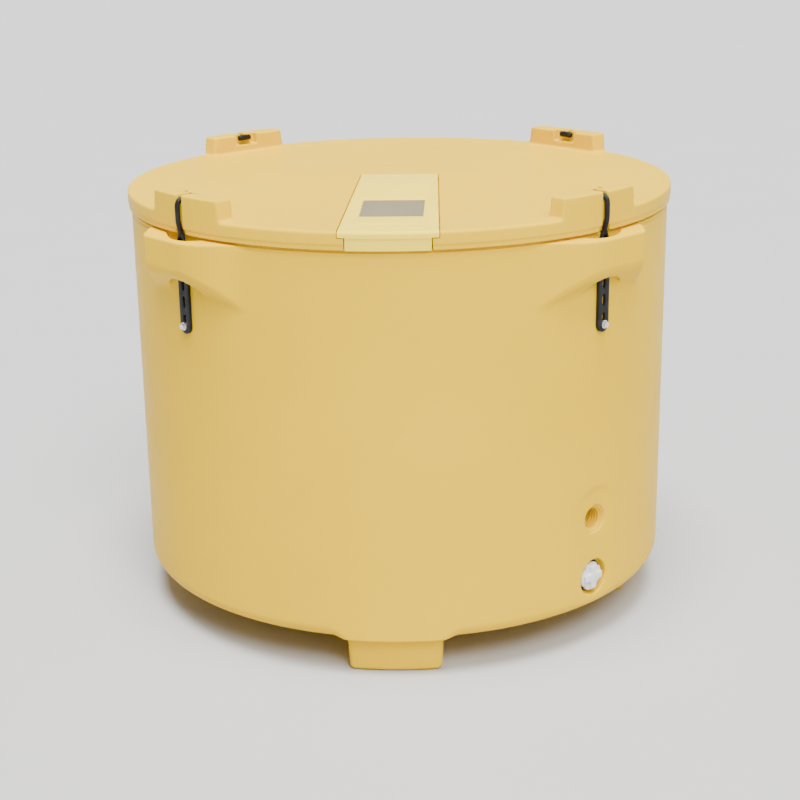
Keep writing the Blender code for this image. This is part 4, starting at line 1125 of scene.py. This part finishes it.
def round_bar(bm):
    """The cross bar with domed ends, along X."""
    dome = 0.004
    turns = np.linspace(0.25, math.pi / 2, 5)
    stations = [(-TOGGLE_HALF_LENGTH + dome * (1 - math.cos(t)), math.sin(t)) for t in turns]
    stations += [(-x, size) for x, size in stations[::-1]]
    rows = []
    for x, size in stations:
        ring = arc((-TOGGLE_OUT, TOGGLE_Z), TOGGLE_R * size, 0, 337.5, 15)
        rows.append([bm.verts.new((x, *point)) for point in ring])
    join_rows(bm, rows)


def build_straps():
    base = strap_mesh()
    for number, azimuth in enumerate(CORNERS, 1):
        mesh = base.copy()
        mesh.transform(Matrix.Rotation(math.radians(azimuth), 4, "Z"))
        name = f"rubber_strap_{number}"
        replaced = (f"strap_ladder_{number}", f"strap_cord_{number}")
        strap = place_mesh(name, mesh, BLACK, None, replaced, 50.0)
        out = Vector((math.sin(math.radians(azimuth)), -math.cos(math.radians(azimuth)), 0)) * CORD_OUT
        low, high = out.copy(), out.copy()
        low.z, high.z = STRAP_PIVOT_Z - 0.013, STRAP_PIVOT_Z + 0.013
        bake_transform(strap)


# Drain plug

def plug_distance(x, y, z):
    """The plug's head, z being the distance out from its seat: a notched disc, a cross and a boss."""
    r = np.hypot(x, y)
    disc = round_max(r - 0.031, z - 0.0075, 0.002)
    angle = np.arctan2(y, x)
    turn = np.mod(angle, math.pi / 2) - math.pi / 4
    notch = np.hypot(r * np.cos(turn) - 0.0335, r * np.sin(turn)) - 0.0062
    disc = round_max(disc, -notch, 0.0012)
    long_bar = round_max(np.abs(x) - 0.026, np.abs(y) - 0.008, 0.0025)
    cross_bar = round_max(np.abs(y) - 0.026, np.abs(x) - 0.008, 0.0025)
    grip = round_max(round_min(long_bar, cross_bar, 0.005), z - 0.0150, 0.002)
    head = round_min(disc, grip, 0.0015)
    boss = round_max(r - 0.0105, z - 0.0158, 0.0025)
    return np.maximum(round_min(head, boss, 0.001), -z)


def build_plug():
    cell = 0.0011
    side = np.arange(-0.033, 0.033 + cell, cell)
    deep = np.arange(-0.0015, 0.0178, cell)
    net, quads, _ = surface_net(plug_distance, (side, side, deep))
    net = settle(net, plug_distance, cell)
    net[:, 2] += PLUG_SEAT
    head = facing_out(net, DRAIN_Z)
    make_object("drain_plug_head", head, quads, WHITE, "plug", ("drain_plug",), 45.0)
    top = PLUG_SEAT + 0.0005
    profile = [(SHANK_R, top), (SHANK_R, SHANK_INNER + 0.0015), (SHANK_R - 0.0011, SHANK_INNER)]
    profile += [(0.006, SHANK_INNER), (0.006, top)]
    points, faces = turned_mesh(profile, 48)
    shank = facing_out(points, DRAIN_Z)
    make_object("drain_plug_shank", shank, faces, WHITE, "plug")
    # The real gasket, drawn wide enough to show past the head as a black ring, which is also painted shade
    # for the gap round the head
    inner, outer = GASKET_AND_SHADE_R
    high = PLUG_SEAT - 0.0002
    low = high - GASKET_THICKNESS
    ring = [(inner, low), (outer - 0.0007, low), (outer, low + 0.0008), (outer - 0.0007, high), (inner, high)]
    points, faces = turned_mesh(ring, 96)
    gasket = facing_out(points, DRAIN_Z)
    make_object("drain_gasket_and_shade_ring", gasket, faces, BLACK, "plug", ("drain_gasket",))


# What stays as it is in the frame, with a better material

def dress_nodes():
    finishes = {
        "foam": FOAM, "strap_insert": BRASS, "strap_screw": STEEL, "strap_washer": STEEL,
        "id_plate": GREY, "hatch_gasket": SEAL, "hatch_under_plate": PALE,
        "foam_plug": YELLOW, "drain_bush": YELLOW,
    }
    for name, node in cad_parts.items():
        for key, material in finishes.items():
            if key in name:
                node.data.materials.clear()
                node.data.materials.append(material)


# Studio

def build_camera():
    """Aims the camera at the rim's middle, pans, tilts and rolls it, and turns it about the tub."""
    place = Vector((0, -math.cos(CAMERA_ELEVATION), math.sin(CAMERA_ELEVATION))) * CAMERA_DISTANCE
    turns = Matrix.Rotation(math.pi / 2 - CAMERA_ELEVATION, 4, "X")
    for angle, axis in ((CAMERA_PAN, "Y"), (CAMERA_TILT, "X"), (-CAMERA_ROLL, "Z")):
        turns = turns @ Matrix.Rotation(angle, 4, axis)
    around = Matrix.Translation((0, 0, RIM_Z)) @ Matrix.Rotation(CAMERA_AZIMUTH, 4, "Z")
    camera = add_object("camera", bpy.data.cameras.new("camera"))
    camera.data.lens = CAMERA_LENS
    camera.data.sensor_width = 36
    camera.matrix_world = around @ Matrix.Translation(place) @ turns
    bpy.context.scene.camera = camera


def area_light(name, place, target, size, power):
    light = bpy.data.lights.new(name, "AREA")
    light.shape = "RECTANGLE"
    light.size, light.size_y = size
    light.energy = power
    made = add_object(name, light)
    made.location = place
    made.rotation_euler = (Vector(target) - Vector(place)).to_track_quat("-Z", "Y").to_euler()


def sun_light(name, azimuth, elevation, softness, strength):
    """An even light from a direction, azimuth from -Y towards +X, with soft shadows."""
    light = bpy.data.lights.new(name, "SUN")
    light.energy = strength
    light.angle = math.radians(softness)
    made = add_object(name, light)
    made.rotation_euler = (math.radians(90 - elevation), 0, math.radians(azimuth))


def build_world():
    """White light all round, brighter near the horizon, so that the floor's far edge doesn't show."""
    world = bpy.data.worlds.new("studio")
    world.use_nodes = True
    tree = world.node_tree
    background = tree.nodes["Background"]
    background.inputs["Color"].default_value = (1.0, 1.0, 1.0, 1)
    place = tree.nodes.new("ShaderNodeTexCoord")
    parts = tree.nodes.new("ShaderNodeSeparateXYZ")
    brightness = tree.nodes.new("ShaderNodeMapRange")
    for socket, value in (("From Min", 0.0), ("From Max", 0.2), ("To Min", 1.5), ("To Max", 0.4)):
        brightness.inputs[socket].default_value = value
    tree.links.new(place.outputs["Generated"], parts.inputs["Vector"])
    tree.links.new(parts.outputs["Z"], brightness.inputs["Value"])
    tree.links.new(brightness.outputs["Result"], background.inputs["Strength"])
    bpy.context.scene.world = world


def build_floor():
    mesh = bpy.data.meshes.new("floor")
    size = 400
    corners = [(-size, -size, 0), (size, -size, 0), (size, size, 0), (-size, size, 0)]
    mesh.from_pydata(corners, [], [(0, 1, 2, 3)])
    floor = add_object("floor", mesh)
    floor.location.z = -0.0005
    made, tree, shader = shader_material("pale_floor", (0.46, 0.46, 0.46), 0.8)
    darker, lighter = [0.455] * 3, [0.465] * 3
    vary_colour(tree, shader, spread(tree, noise(tree, 2.0), 0, 1), darker, lighter)
    mesh.materials.append(made)


build_camera()
build_world()
area_light("key", (1.4, -4.6, 2.6), (0, 0, 0.5), (2.0, 1.6), 40)
sun_light("overhead", -4, 80, 30, 7.4)
sun_light("front", 20, 48, 25, 3.4)
build_floor()
build_tub()
build_lid()
build_hatch()
build_under_lid()
build_liner()
build_rim_gasket()
build_bush()
build_feet()
build_straps()
build_plug()
dress_nodes()
